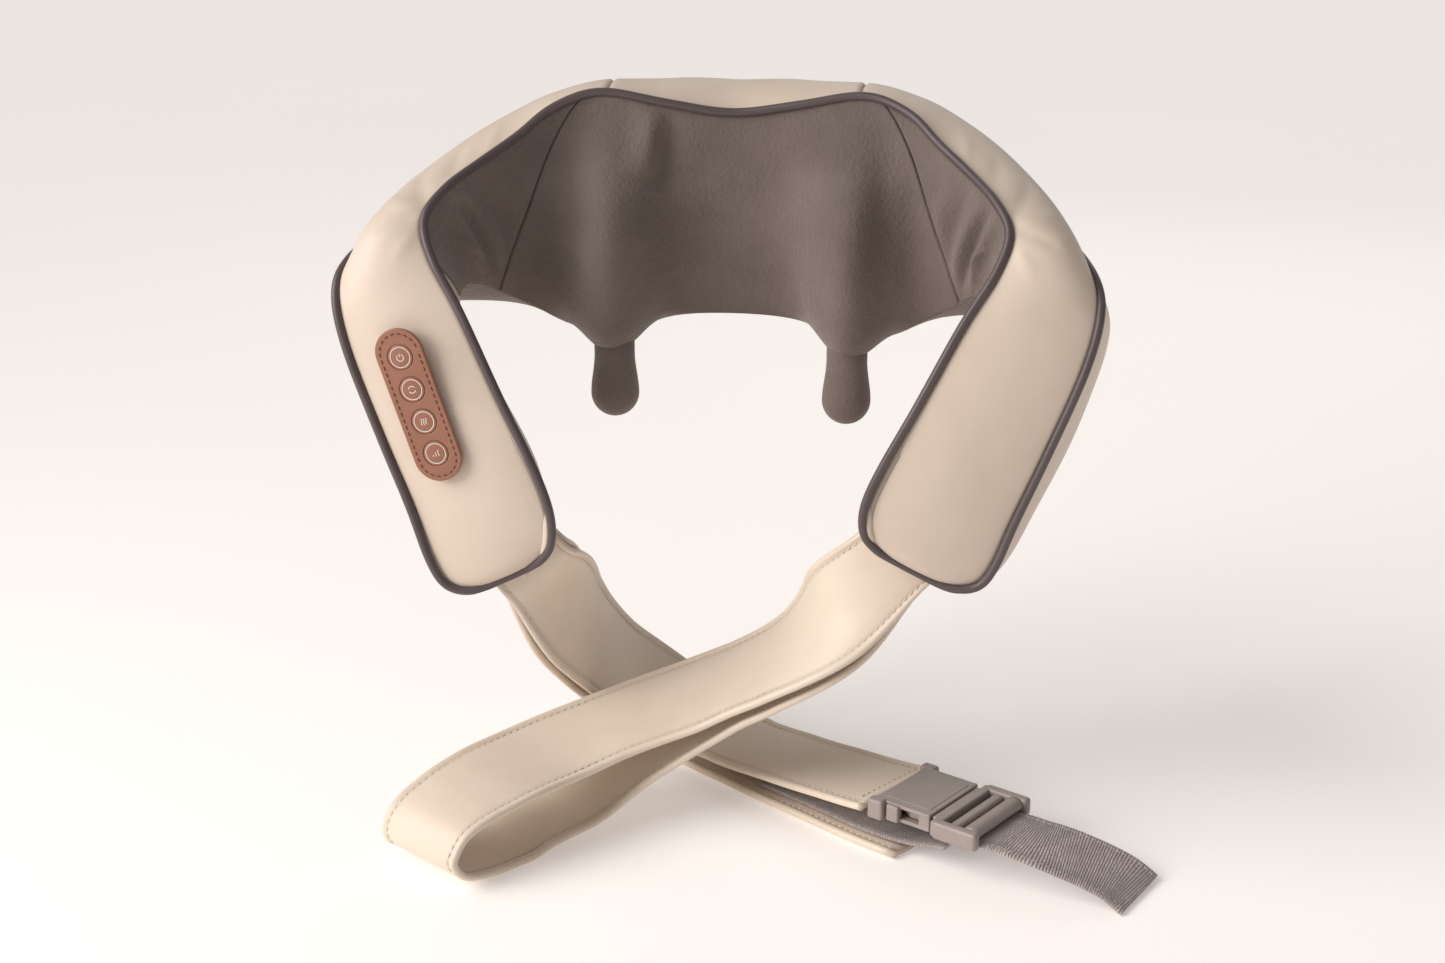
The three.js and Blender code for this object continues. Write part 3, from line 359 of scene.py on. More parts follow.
def shell_faces(rows, columns):
    """A grid, the same grid behind it, and the rims that close them."""
    size = rows * columns
    faces = grid_faces(rows, columns) + [f[::-1] for f in grid_faces(rows, columns, size)]
    rim = [i * columns for i in range(rows)]
    rim += [(rows - 1) * columns + j for j in range(1, columns)]
    rim += [i * columns + columns - 1 for i in range(rows - 2, -1, -1)]
    rim += list(range(columns - 2, 0, -1))
    for a, b in zip(rim, rim[1:] + rim[:1]):
        faces.append((a, b, b + size, a + size))
    return faces


def tube_points(path, radius):
    """Rings along a path, with one radius for each of its points."""
    sides = 14
    tangent = unit(np.gradient(path, axis=0))
    up = np.tile([0.0, 1.0, 0.0], (len(path), 1))
    side = unit(np.cross(tangent, up))
    over = np.cross(side, tangent)
    angle = np.linspace(0, 2 * np.pi, sides, endpoint=False)[None, :, None]
    ring = np.cos(angle) * side[:, None] + np.sin(angle) * over[:, None]
    return path[:, None] + radius[:, None, None] * ring


# ---------------------------------------------------------------- the body's outer surface
# Stations of the right half, from the middle of the back to the arm's tip. Each lists
# the inner top, outer top, outer low and inner low rail.
STATIONS = np.array([
    [[0, 110, 377], [0, 182, 370], [0, 188, 288], [0, 117, 266]],
    [[36, 107, 382], [38, 181, 370], [38, 187, 286], [34, 117, 264]],
    [[71, 105, 387.5], [74, 177, 366], [74, 183, 282], [66, 118, 257]],
    [[95, 95, 380], [108, 166, 357], [108, 172, 278], [92, 108, 261]],
    [[111, 80, 367], [137, 143, 344], [140, 150, 275], [110, 97, 272]],
    [[128, 60, 355], [162, 110, 330], [168, 120, 273], [122, 86, 281]],
    [[141, 40, 345], [180, 70, 318], [191, 90, 272], [131, 76, 288]],
    [[149, 25, 331.5], [191, 34, 309], [199, 66, 272], [138, 67, 289]],
    [[143, 15, 313], [194, 16, 295], [200, 57, 266], [140, 58, 284]],
    [[128, 8, 288], [188, 9, 268], [196, 52, 251], [136, 51, 269]],
    [[107, 1, 246], [172, 6, 225], [185, 49, 217], [118, 45, 240]],
    [[90, 0, 212], [157, 6, 186], [169, 48, 180], [101, 44, 209]],
    [[82, 1, 190], [148, 6, 160], [158, 46, 157], [93, 42, 188]],
    [[82, 3, 174], [140, 7, 147], [147, 40, 146], [91, 38, 174]],
    [[88, 6, 164], [128, 8, 144], [132, 36, 144], [95, 34, 164]],
    [[97, 10, 157], [116, 11, 147], [118, 30, 147], [101, 29, 157]],
], float)
LAST = len(STATIONS) - 1
SHOULDER = 6.6
FABRIC_END = 8.0
BACK_SEAM = 1.9
FABRIC_SEAM_TOP = 2.25
FABRIC_SEAM_SPREAD = 3.0
BACK_PANEL = 3.6
TOP, OUTSIDE, UNDERSIDE, INNER = range(4)
FACE_CROWN = [13, 5, 5, 2]
MIDDLE_TOP_CROWN = 17.5
SHOULDER_CROWN = 5.0
SHOULDER_CROWN_AT = 4.2
SHOULDER_CROWN_WIDTH = 1.3
ARM_CROWN = [5, 3, 3, 2]
DOME_HEIGHT = 37
DOME_HALF_WIDTH = 26
DOME_DROP = 16
DOME_FULL_AT = 0.26
DOME_FADES_FROM = 0.42
DOME_DROP_FADES = (0.15, 0.6)
TIP_DOME = 11.0
TIP_DIRECTION = np.array([-0.47, 0.05, -0.88])
LEFT_ARM_LIFT = -7.0
RIGHT_ARM_LIFT = 7.0
ARM_LIFT_RANGE = (8.5, 14)
THUMB_PULL = 11
THUMB_PULL_RADIUS = 20
THUMB_PULL_HEIGHTS = (264, 296)


def rail(corner, u):
    points = STATIONS[:, corner]
    points = np.vstack([points[1] * [-1, 1, 1], points])
    return spline(points, (np.minimum(np.abs(u), LAST) + 1) / (LAST + 1), even=True)


def section_centre(u):
    return sum(rail(corner, u) for corner in range(4)) / 4


def dome_shift(x, t):
    across = np.exp(-(((np.abs(x) - DOME_X) / DOME_HALF_WIDTH) ** 2))
    rise = 1 - (1 - np.minimum(t / DOME_FULL_AT, 1)) ** 2.6
    fall = 1 - smoothstep(t, DOME_FADES_FROM, 1) * 0.96
    forward = DOME_HEIGHT * across * rise * fall
    down = DOME_DROP * across * rise * (1 - smoothstep(t, *DOME_DROP_FADES))
    return np.stack([np.zeros_like(forward), -forward, -down], axis=-1)


def thumb_pull(points):
    """The fabric narrows to a cone where each thumb comes out of it."""
    reach = np.hypot(np.abs(points[..., 0]) - DOME_X, points[..., 1] - THUMB_Y)
    low = 1 - smoothstep(points[..., 2], *THUMB_PULL_HEIGHTS)
    pulled = points.copy()
    pulled[..., 2] -= THUMB_PULL * low * np.exp(-(reach / THUMB_PULL_RADIUS) ** 2)
    return pulled


def arm_lift(u):
    """The arms don't hang quite alike: the left one reaches a little lower than the right."""
    return np.where(u < 0, LEFT_ARM_LIFT, RIGHT_ARM_LIFT) * smoothstep(np.abs(u), *ARM_LIFT_RANGE)


def outer_surface(face, u, t):
    """u runs along the horseshoe, right is positive; t runs across one face."""
    size = np.abs(u)
    start, end, centre = rail(face, size), rail((face + 1) % 4, size), section_centre(size)
    along = unit(end - start)
    out = (start + end) / 2 - centre
    out = unit(out - dot(out, along) * along)
    arm = smoothstep(size, SHOULDER, SHOULDER + 2)
    crown = FACE_CROWN[face] * (1 - arm) + ARM_CROWN[face] * arm
    if face == TOP:
        crown = crown + (MIDDLE_TOP_CROWN - FACE_CROWN[TOP]) * (1 - smoothstep(size, 0.2, BACK_SEAM))
        crown = crown + SHOULDER_CROWN * np.exp(-(((size - SHOULDER_CROWN_AT) / SHOULDER_CROWN_WIDTH) ** 2))
    tip = 1 - smoothstep(size, LAST - 2, LAST) * 0.8
    bulge = crown * 4 * t * (1 - t) * tip
    points = start + (end - start) * t[..., None] + out * bulge[..., None]
    if face == INNER:
        points = points + dome_shift(points[..., 0], t)
    points = thumb_pull(points)
    beyond = np.clip(size - LAST, 0, 1)[..., None] * np.pi / 2
    low = {TOP: 0 * t, OUTSIDE: t, UNDERSIDE: 0 * t + 1, INNER: 1 - t}[face]
    dome = (TIP_DOME * (0.12 + low))[..., None] * TIP_DIRECTION
    points = centre + (points - centre) * np.cos(beyond) + dome * np.sin(beyond)
    points[..., 0] *= np.where(u < 0, -1, 1)
    points[..., 2] += arm_lift(u)
    return points


def fabric_seam(t):
    """The seam beside each dome leans out as it goes down."""
    return FABRIC_SEAM_TOP + FABRIC_SEAM_SPREAD * np.maximum(1 - t, 0.002) ** 0.7


# ---------------------------------------------------------------- covers
COVER_STEP = 0.06
COVER_DEPTH = 1.6
# How much painted shade darkens a cover's colour beside its seams.
SEAM_SHADE = 0.30
FOLD_U = 27.0
FOLD_T = 92.0
FOLD_FADE = 9.0


def rolled(distance, radius):
    """How far a cover turns in beside a seam that is distance away."""
    inside = np.clip(radius - distance, 0, radius)
    return radius - np.sqrt(radius ** 2 - inside ** 2)


def fold(u, t, start, end, width, height):
    """A soft fold between two places (u, t) of a face; width and height in millimetres."""
    scale = np.array([FOLD_U, FOLD_T])
    a, b = np.array(start) * scale, np.array(end) * scale
    p = np.stack([u * FOLD_U, t * FOLD_T], axis=-1)
    along = np.clip(dot(p - a, b - a) / np.dot(b - a, b - a), 0, 1)
    distance = np.linalg.norm(p - a - along * (b - a), axis=-1)
    taper = np.sin(np.pi * np.clip(along[..., 0], 0.02, 0.98)) ** 0.6
    return height * taper * np.exp(-(distance / width) ** 2)


def run_lengths(points, axis):
    """Distance walked along the grid from its first row or column, in millimetres."""
    steps = np.linalg.norm(np.diff(points, axis=axis), axis=-1)
    walked = np.cumsum(steps, axis=axis)
    blank = np.zeros_like(np.take(walked, [0], axis=axis))
    return np.concatenate([blank, walked], axis=axis)


def cover(name, face, u0, u1, material, slot, stands_for, edges, folds=(), rows_per_face=34):
    """One sewn panel. edges gives the roll at t = 0, t = 1, u0 and u1; 0 is no seam.

    u0 and u1 are numbers, or a list with one number for each row of t."""
    rows = np.linspace(0, 1, rows_per_face)
    low, high = np.broadcast_to(u0, rows.shape), np.broadcast_to(u1, rows.shape)
    count = max(int(np.abs(high - low).max() / COVER_STEP), 8)
    step = np.linspace(0, 1, count)[:, None]
    u = low + (high - low) * step
    t = np.broadcast_to(rows, u.shape)
    base = outer_surface(face, u, t)
    normal = unit(np.cross(np.gradient(base, axis=0), np.gradient(base, axis=1)))
    sides = np.stack([np.sign(u) + (u == 0), np.ones_like(u), np.ones_like(u)], axis=-1)
    centre = section_centre(np.abs(u)) * sides
    facing = np.sign(np.sum(dot(normal, base - centre)))
    normal *= facing
    across, along = run_lengths(base, 1), run_lengths(base, 0)
    distances = [across, across[:, -1:] - across, along, along[-1:] - along]
    depth = np.zeros_like(u)
    # Painted shade: the colour is darkened in the rolled-in crease beside each seam.
    shade = np.ones_like(u)
    for distance, radius in zip(distances, edges):
        if radius == 0:
            continue
        depth = np.maximum(depth, rolled(distance, radius))
        shade -= SEAM_SHADE * np.exp(-(distance / (0.6 * radius)) ** 2)
    inland = np.minimum.reduce([distance for distance, radius in zip(distances, edges) if radius > 0])
    relief = sum((fold(u, t, *one) for one in folds), np.zeros_like(u))
    relief = relief * smoothstep(inland, 0, FOLD_FADE) - depth
    outside = base + normal * relief[..., None]
    inside = outside - normal * COVER_DEPTH
    points = np.concatenate([outside.reshape(-1, 3), inside.reshape(-1, 3)])
    piece = add_piece(name, points, shell_faces(*u.shape), material, stands_for=stands_for)
    set_shade(piece, np.concatenate([shade.ravel(), shade.ravel()]))
    return piece


PIPED = 3.0
SEWN = 1.5
DOME_ROWS = 90
SIDE_ROWS = 70
TIP_END = LAST + 0.97

# Folds on the right half: (u, t) of each end, width and height in millimetres.
SHOULDER_FOLDS = [
    ((6.5, 0.02), (5.5, 0.42), 5.0, -1.0),
    ((6.7, 0.02), (6.3, 0.5), 5.0, 1.0),
    ((6.9, 0.02), (7.1, 0.46), 4.5, -0.9),
    ((7.3, 0.02), (7.9, 0.34), 4.5, 0.6),
    ((5.6, 0.03), (4.9, 0.3), 4.5, -0.7),
    ((4.7, 0.02), (4.2, 0.26), 4.0, 0.6),
]
GATHERS = [
    ((6.3, 0.95), (5.9, 0.10), 7.0, 3.2),
    ((6.0, 0.92), (5.3, 0.10), 6.0, -3.0),
    ((5.7, 0.96), (4.8, 0.16), 7.0, 2.8),
    ((5.1, 0.94), (4.3, 0.22), 6.5, -2.4),
    ((4.6, 0.90), (3.8, 0.35), 6.5, 1.6),
    ((6.5, 0.60), (5.7, 0.32), 4.5, 1.8),
]
DOME_FOLDS = [
    ((-1.15, 0.98), (-1.30, 0.66), 6.0, 5.0),
    ((-0.95, 0.96), (-1.02, 0.60), 6.0, -3.6),
    ((1.05, 0.98), (1.30, 0.55), 12.0, 2.0),
    ((2.45, 0.85), (2.62, 0.25), 9.0, -1.6),
    ((-2.50, 0.85), (-2.66, 0.25), 9.0, -1.6),
    ((0.85, 0.30), (1.05, 0.06), 7.0, -2.4),
    ((-0.90, 0.26), (-1.05, 0.06), 7.0, -1.8),
]


def mirrored_folds(folds):
    return [((-a[0], a[1]), (-b[0], b[1]), width, height) for a, b, width, height in folds]


def add_covers():
    cream = (CREAM, "cream_leather")
    fabric = (SUEDE, "stretch_fabric")
    cover("top_cover", TOP, -BACK_SEAM, BACK_SEAM, *cream, ["top_cover_center"], (PIPED, PIPED, SEWN, SEWN))
    cover("rear_cover", OUTSIDE, -BACK_PANEL, BACK_PANEL, *cream, ["back_cover"], (PIPED, SEWN, SEWN, SEWN))
    cover("underside_fabric", UNDERSIDE, -SHOULDER, SHOULDER, *fabric, ["base_cover"], (SEWN, 0, SEWN, SEWN))
    dome_seam = fabric_seam(np.linspace(0, 1, DOME_ROWS))
    side_seam = fabric_seam(np.linspace(0, 1, SIDE_ROWS))
    cover("dome_fabric", INNER, -dome_seam, dome_seam, *fabric, ["inner_fabric_center"],
          (0, PIPED, SEWN, SEWN), DOME_FOLDS, rows_per_face=DOME_ROWS)
    for side_name, side in (("left", -1), ("right", 1)):
        pleats = GATHERS if side > 0 else mirrored_folds(GATHERS)
        creases = SHOULDER_FOLDS if side > 0 else mirrored_folds(SHOULDER_FOLDS)
        cover(f"{side_name}_arm_pad", TOP, side * BACK_SEAM, side * TIP_END, *cream,
              [f"{side_name}_top_cover"], (PIPED, PIPED, SEWN, 0), creases, rows_per_face=60)
        cover(f"{side_name}_gusset", OUTSIDE, side * BACK_PANEL, side * TIP_END, *cream,
              [f"{side_name}_side_gusset"], (PIPED, 0, SEWN, 0))
        cover(f"{side_name}_lining_outer", UNDERSIDE, side * SHOULDER, side * TIP_END, *cream,
              [f"{side_name}_arm_lining"], (0, 0, SEWN, 0))
        cover(f"{side_name}_lining_inner", INNER, side * FABRIC_END, side * TIP_END, *cream,
              [], (0, PIPED, SEWN, 0))
        cover(f"{side_name}_gathered_fabric", INNER, side * side_seam, side * FABRIC_END, *fabric,
              [f"{side_name}_inner_fabric"], (0, PIPED, SEWN, SEWN), pleats, rows_per_face=SIDE_ROWS)


# ---------------------------------------------------------------- piping
PIPING_RADIUS = 2.35
PIPING_STANDOFF = 0.9
PIPING_FORWARD = np.array([0, -1.9, 0])


def piping_rail(corner, u):
    points = rail(corner, u)
    out = unit(points - section_centre(u))
    close = smoothstep(np.abs(u), 9.5, 12.5)[:, None]
    points = points + out * (PIPING_STANDOFF - 0.3 * close) + PIPING_FORWARD * close
    points[:, 0] *= np.where(u < 0, -1, 1)
    points[:, 2] += arm_lift(u)
    return points


def add_piping():
    """One closed cord round both seams; it turns over each arm's tip."""
    u = np.linspace(-LAST, LAST, 420)
    inner = piping_rail(0, u)
    outer = piping_rail(1, u)[::-1]
    path = np.vstack([inner, outer])
    for _ in range(6):
        path = (np.roll(path, 1, axis=0) + 2 * path + np.roll(path, -1, axis=0)) / 4
    count, sides = len(path), 14
    tangent = unit(np.roll(path, -1, axis=0) - np.roll(path, 1, axis=0))
    inward = np.vstack([section_centre(np.abs(u)), section_centre(np.abs(u))[::-1]])
    inward[:, 0] *= np.where(np.concatenate([u, u[::-1]]) < 0, -1, 1)
    side = unit(np.cross(tangent, inward - path))
    over = np.cross(side, tangent)
    angle = np.linspace(0, 2 * np.pi, sides, endpoint=False)[None, :, None]
    ring = np.cos(angle) * side[:, None] + np.sin(angle) * over[:, None]
    points = path[:, None] + PIPING_RADIUS * ring
    faces = grid_faces(count, sides, wrap=True)
    last = (count - 1) * sides
    for j in range(sides):
        k = (j + 1) % sides
        faces.append((last + j, last + k, k, j))
    piece = add_piece("seam_piping", points.reshape(-1, 3), faces, PIPING,
                      stands_for=["inner_piping", "outer_piping"])
    set_even_shade(piece)


# ---------------------------------------------------------------- thumbs
def lathe(name, profile, x, y, material, body, stands_for=()):
    """A turned piece about a vertical axis; the profile lists radius and height."""
    sides = 48
    profile = np.asarray(profile, float)
    angle = np.linspace(0, 2 * np.pi, sides, endpoint=False)
    rings = np.stack([
        x + profile[:, :1] * np.cos(angle),
        y + profile[:, :1] * np.sin(angle),
        np.repeat(profile[:, 1:], sides, axis=1),
    ], axis=-1)
    points = rings.reshape(-1, 3)
    faces = capped_faces(len(profile), sides)
    piece = add_piece(name, points, faces, material, body, stands_for)
    set_even_shade(piece)
    return piece


BULB = 13.4
NECK = 11.2
WAIST_LENGTH = 22
THUMB_TOP = 266.0
SLEEVE_TOP = 263.0
SLEEVE_HEM = 256.0


def thumb_profile():
    ball = [(BULB * math.sin(a), THUMB_TIP + BULB * (1 - math.cos(a)))
            for a in np.linspace(0.03, math.pi / 2, 14)]
    waist = []
    for s in np.linspace(0.08, 1, 14):
        ease = s * s * (3 - 2 * s)
        waist.append((BULB + (NECK - BULB) * ease, THUMB_TIP + BULB + WAIST_LENGTH * s))
    return ball + waist + [(NECK, THUMB_TOP)]


def add_thumbs():
    for side_name, side in (("left", -1), ("right", 1)):
        x = side * DOME_X
        hand = f"{side_name}_hand"
        lathe(f"{side_name}_thumb_cover", thumb_profile(), x, THUMB_Y, SUEDE, hand,
              [f"{side_name}_thumb"])
        flare = []
        for s in np.linspace(0, 1, 18):
            flare.append((NECK + 0.35 + 2.6 * s ** 1.6, SLEEVE_HEM + (SLEEVE_TOP - SLEEVE_HEM) * s))
        sleeve = lathe(f"{side_name}_thumb_sleeve", flare, x, THUMB_Y, SUEDE, None)
        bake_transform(sleeve)


# ---------------------------------------------------------------- straps
STRAP_WIDTH = 62
STRAP_REACH = 24.0
GATHERED = 0.72
STRAP_THICKNESS = 4
FLAT_SHARE = 0.82
EDGE_BEAD = 2.1
STITCH_GUTTER = 0.35
WEBBING_WIDTH = 46
WEBBING_THICKNESS = 1.8

RIGHT_STRAP_FRONT = [
    [[92.5, 17, 157], [-0.78, 0.1, 0.62], 7],
    [[74, 18, 138], [-0.66, 0.45, 0.6], 9],
    [[54, 23, 116], [-0.25, 0.84, 0.48], 9],
    [[34, 31, 97], [0, 0.91, 0.4], 9],
    [[12, 37, 82], [0, 0.94, 0.34], 10],
    [[-14, 39, 68], [-0.2, 0.94, 0.27], 13],
    [[-53, 30, 54], [-0.47, 0.87, 0.17], 24],
    [[-85, 8, 46], [-0.7, 0.7, 0.14], 39],
    [[-111, -20, 42], [-0.77, 0.61, 0.1], 39.5],
    [[-127, -37, 37], [-0.79, 0.6, 0.06], 35],
]
RIGHT_STRAP_TURN = [
    [[-139, -50, 29], [-0.8, 0.6, 0]],
    [[-144, -56, 17], [-0.8, 0.6, 0]],
    [[-140, -52, 7.6], [-0.8, 0.6, 0]],
]
LEFT_STRAP_FRONT = [
    [[-92.5, 18, 143.5], [-0.78, 0.02, -0.62], 7],
    [[-88, 30, 134], [-0.62, -0.4, -0.63], 8],
    [[-79, 62, 98], [-0.2, -0.75, -0.63], 9],
    [[-62, 104, 56], [0, -0.8, -0.55], 9],
    [[-38, 125, 28], [-0.1, -0.88, -0.4], 9.5],
    [[-15, 118, 14.5], [-0.35, -0.9, -0.15], 10.5],
    [[6, 103, 12.5], [-0.5, -0.86, 0], 10.2],
    [[34, 80, 15], [-0.52, -0.85, 0], 12.8],
    [[66, 56, 18.5], [-0.52, -0.85, 0], 16.3],
    [[101, 29, 23.5], [-0.52, -0.85, 0], 21.3],
]
LEFT_LOWER_END = [120, 17.5, STRAP_THICKNESS / 2]
ANCHOR_WEBBING = [
    [[34, 80, 5.6], [0.52, 0.85, 0]],
    [[66, 56, 5.6], [0.52, 0.85, 0]],
    [[98, 31, 5.8], [0.52, 0.85, 0]],
    [[120, 17, 7.5], [0.52, 0.85, 0]],
    [[140, 4.5, 12.5], [0.52, 0.85, 0]],
]
TAIL_WEBBING = [
    [[139, 5.5, 20.4], [0.52, 0.85, 0]],
    [[151, -2, 20.4], [0.52, 0.85, 0]],
    [[162, -8.5, 21.2], [0.52, 0.85, 0]],
    [[178, -15.5, 19.6], [0.5, 0.87, 0]],
    [[201, -20, 13.5], [0.5, 0.86, 0]],
    [[219, -25, 7], [0.5, 0.86, 0]],
    [[229, -30, 1.2], [0.5, 0.86, 0]],
]


def strap_frames(stations, steps):
    """Middle, side and behind directions, and the second layer's distance, along a strap."""
    t = np.linspace(0, 1, steps)
    middles = [s[0] for s in stations]
    centre = spline(middles, t, even=False)
    ahead = spline(middles, np.clip(t + 1e-4, 0, 1), even=False)
    back = spline(middles, np.clip(t - 1e-4, 0, 1), even=False)
    tangent = unit(ahead - back)
    side = spline([s[1] for s in stations], t, even=False)
    side = unit(side - dot(side, tangent) * tangent)
    behind = unit(np.cross(tangent, side))
    behind_by = [s[2] if len(s) > 2 else 0 for s in stations]
    distance = np.interp(t * (len(stations) - 1), range(len(stations)), behind_by)
    return [centre, side, behind, distance]


def second_layer(frames):
    centre, side, behind, distance = frames
    centre = centre + behind * distance[:, None]
    level = 1 - smoothstep(centre[:, 2], STRAP_THICKNESS, 4 * STRAP_THICKNESS)
    side = side.copy()
    side[:, 2] *= 1 - level
    side = unit(side)
    behind = unit(behind - dot(behind, side) * side)
    low = centre[:, 2] <= STRAP_THICKNESS
    centre[low, 2] = STRAP_THICKNESS / 2
    flat = np.stack([0 * behind[:, 2], 0 * behind[:, 2], np.sign(behind[:, 2])], axis=-1)
    behind = np.where(low[:, None], flat, behind)
    return [centre[::-1], side[::-1], -behind[::-1]]


def eased(frames, rounds):
    """Smooths a strap's run, with its ends held."""
    made = []
    for values in frames[:3]:
        values = values.copy()
        for _ in range(rounds):
            values[1:-1] = (values[:-2] + 2 * values[1:-1] + values[2:]) / 4
        made.append(values)
    centre, side, behind = made
    side = unit(side)
    behind = unit(behind - dot(behind, side) * side)
    return [centre, side, behind]


def strap_section():
    """Half profile from the middle to the edge: across, and half the thickness there."""
    half = STRAP_WIDTH / 2
    flat = STRAP_THICKNESS / 2 * FLAT_SHARE
    stitch = half - STITCH_INSET
    bead, gutter = EDGE_BEAD, STITCH_GUTTER
    profile = [(0, flat), (half * 0.5, flat), (stitch - 2.5, flat), (stitch - 0.8, flat - gutter * 0.6)]
    profile += [(stitch, flat - gutter), (stitch + 0.9, flat - gutter * 0.5)]
    centre = half - bead
    profile += [(centre - bead * 0.7, bead * 0.86)]
    for angle in np.linspace(100, 0, 7):
        a = math.radians(angle)
        profile.append((centre + bead * math.cos(a), bead * math.sin(a)))
    return profile


def strap_loop(profile):
    """The whole closed section from its half profile."""
    right_top = profile[:-1]
    edge = [profile[-1]]
    right = right_top + edge + [(x, -z) for x, z in reversed(right_top)]
    left = [(-x, z) for x, z in reversed(right[1:-1])]
    return np.array(right + left)


def sewn_in(length, both_ends):
    """A strap's share of its full width: it is gathered where an arm's seam holds it."""
    start = GATHERED + (1 - GATHERED) * smoothstep(length, STRAP_REACH * 0.6, STRAP_REACH + 60)
    if not both_ends:
        return start
    left_over = length[-1] - length
    return start * (GATHERED + (1 - GATHERED) * smoothstep(left_over, STRAP_REACH * 0.6, STRAP_REACH + 60))


def ribbon(name, frames, profile, material, body, stands_for=(), ripple=0.0, arms=0):
    """A band along frames; arms says how many of its ends an arm holds."""
    centre, side, behind = frames[:3]
    loop = strap_loop(profile)
    length = run_lengths(centre, 0)[:, None]
    if arms:
        side = side * sewn_in(length, arms == 2)
    wave = ripple * (np.sin(length / 17.0) + 0.6 * np.sin(length / 7.3 + 1.0 + loop[:, 0] / 14))
    points = (centre[:, None] + side[:, None] * loop[None, :, :1]
              + behind[:, None] * (loop[None, :, 1:] + wave[..., None]))
    rows, columns = points.shape[:2]
    faces = capped_faces(rows, columns)
    piece = add_piece(name, points.reshape(-1, 3), faces, material, body, stands_for)
    # Painted shade: the band's colour is darker along the stitch lane near each edge.
    half = loop[:, 0].max()
    edge = 1 - 0.16 * np.exp(-((half - np.abs(loop[:, 0]) - STITCH_INSET) / 1.3) ** 2)
    set_shade(piece, np.tile(edge, rows))
    layer = piece.data.uv_layers.new(name="along")
    along = np.repeat(length[:, 0] * MM, columns)
    across = np.tile(loop[:, 0] * MM, rows)
    corner = np.array([loop_corner.vertex_index for loop_corner in piece.data.loops])
    layer.data.foreach_set("uv", np.stack([along[corner], across[corner]], axis=-1).ravel())
    return piece


STITCH = 2.7
STITCH_PITCH = 4.3
STITCH_RADIUS = 0.34
STITCH_INSET = 5.2

# Rings of one stitch: share of its length, share of its radius, and lift.
STITCH_RINGS = [(0, 0.3, -0.25), (0.2, 1, 0), (0.5, 1.1, 0.1), (0.8, 1, 0), (1, 0.3, -0.25)]


def add_stitches(name, path, normal, material, body="frame", height=0.1, pitch=STITCH_PITCH):
    """A row of short raised threads along a path of millimetre points."""
    walked = run_lengths(path, 0)
    starts = np.arange(pitch / 2, walked[-1] - pitch / 2, pitch)
    points, faces = [], []
    sides = 6
    for start in starts:
        ends = [np.array([np.interp(start + d, walked, path[:, k]) for k in range(3)])
                for d in (-STITCH / 2, STITCH / 2)]
        out = unit(np.array([np.interp(start, walked, normal[:, k]) for k in range(3)]))
        along = unit(ends[1] - ends[0])
        side = unit(np.cross(along, out))
        first = len(points)
        for s, radius, lift in STITCH_RINGS:
            middle = ends[0] * (1 - s) + ends[1] * s + out * (height + lift)
            for k in range(sides):
                angle = 2 * math.pi * k / sides
                spoke = math.cos(angle) * side + math.sin(angle) * out
                points.append(middle + STITCH_RADIUS * radius * spoke)
        faces += capped_faces(len(STITCH_RINGS), sides, first)
    piece = add_piece(name, points, faces, material, body)
    set_even_shade(piece)
    return piece


def stitch_strap(name, frames, arms):
    centre, side, behind = frames[:3]
    side = side * sewn_in(run_lengths(centre, 0)[:, None], arms == 2)
    lane = STRAP_WIDTH / 2 - STITCH_INSET
    lift = STRAP_THICKNESS / 2 * FLAT_SHARE - STITCH_GUTTER
    for edge_name, k in (("near", -1), ("far", 1)):
        for face_name, d in (("front", -1), ("back", 1)):
            normal = behind * d
            path = centre + side * k * lane + normal * lift
            add_stitches(f"{name}_{edge_name}_{face_name}_stitches", path, normal, THREAD)


def reach_in(frames, arm):
    """Carries a strap's start on into the arm that it is sewn into: -1 left, 1 right."""
    centre, side, behind = frames
    count = 10
    into = unit(np.array([arm * 0.7, 0.1, 0.7]))
    steps = np.linspace(STRAP_REACH, STRAP_REACH / count, count)[:, None]
    made = [np.vstack([centre[0] + into * steps, centre])]
    for values in (side, behind):
        made.append(np.vstack([np.repeat(values[:1], count, axis=0), values]))
    return made


def reach_in_both(frames, arm):
    turned = [values[::-1] for values in reach_in(frames, arm)]
    return [values[::-1] for values in reach_in(turned, arm)]


def rounded_out(frames, both=False):
    """Rounds the bend where a strap comes out of the arm that holds it."""
    length = run_lengths(frames[0], 0)
    near = np.minimum(length, length[-1] - length) if both else length
    share = 1 - smoothstep(near, 40, 70)[:, None]
    mixed = [soft * share + plain * (1 - share) for soft, plain in zip(eased(frames, 70), frames)]
    return [mixed[0], unit(mixed[1]), unit(mixed[2])]


def add_right_strap():
    front = strap_frames(RIGHT_STRAP_FRONT, 150)
    back = second_layer(front)
    first = [front[0][-1], front[1][-1]]
    last = [back[0][0], back[1][0]]
    turn = strap_frames([first, *RIGHT_STRAP_TURN, last], 50)
    turn = [values[1:-1] for values in turn]
    frames = [np.concatenate(parts) for parts in zip(front, turn, back)]
    frames = rounded_out(reach_in_both(eased(frames, 12), 1), both=True)
    profile = strap_section()
    ribbon("hand_strap", frames, profile, STRAP, "frame", ["right_hand_strap"], 0.16, 2)
    stitch_strap("hand_strap", frames, 2)


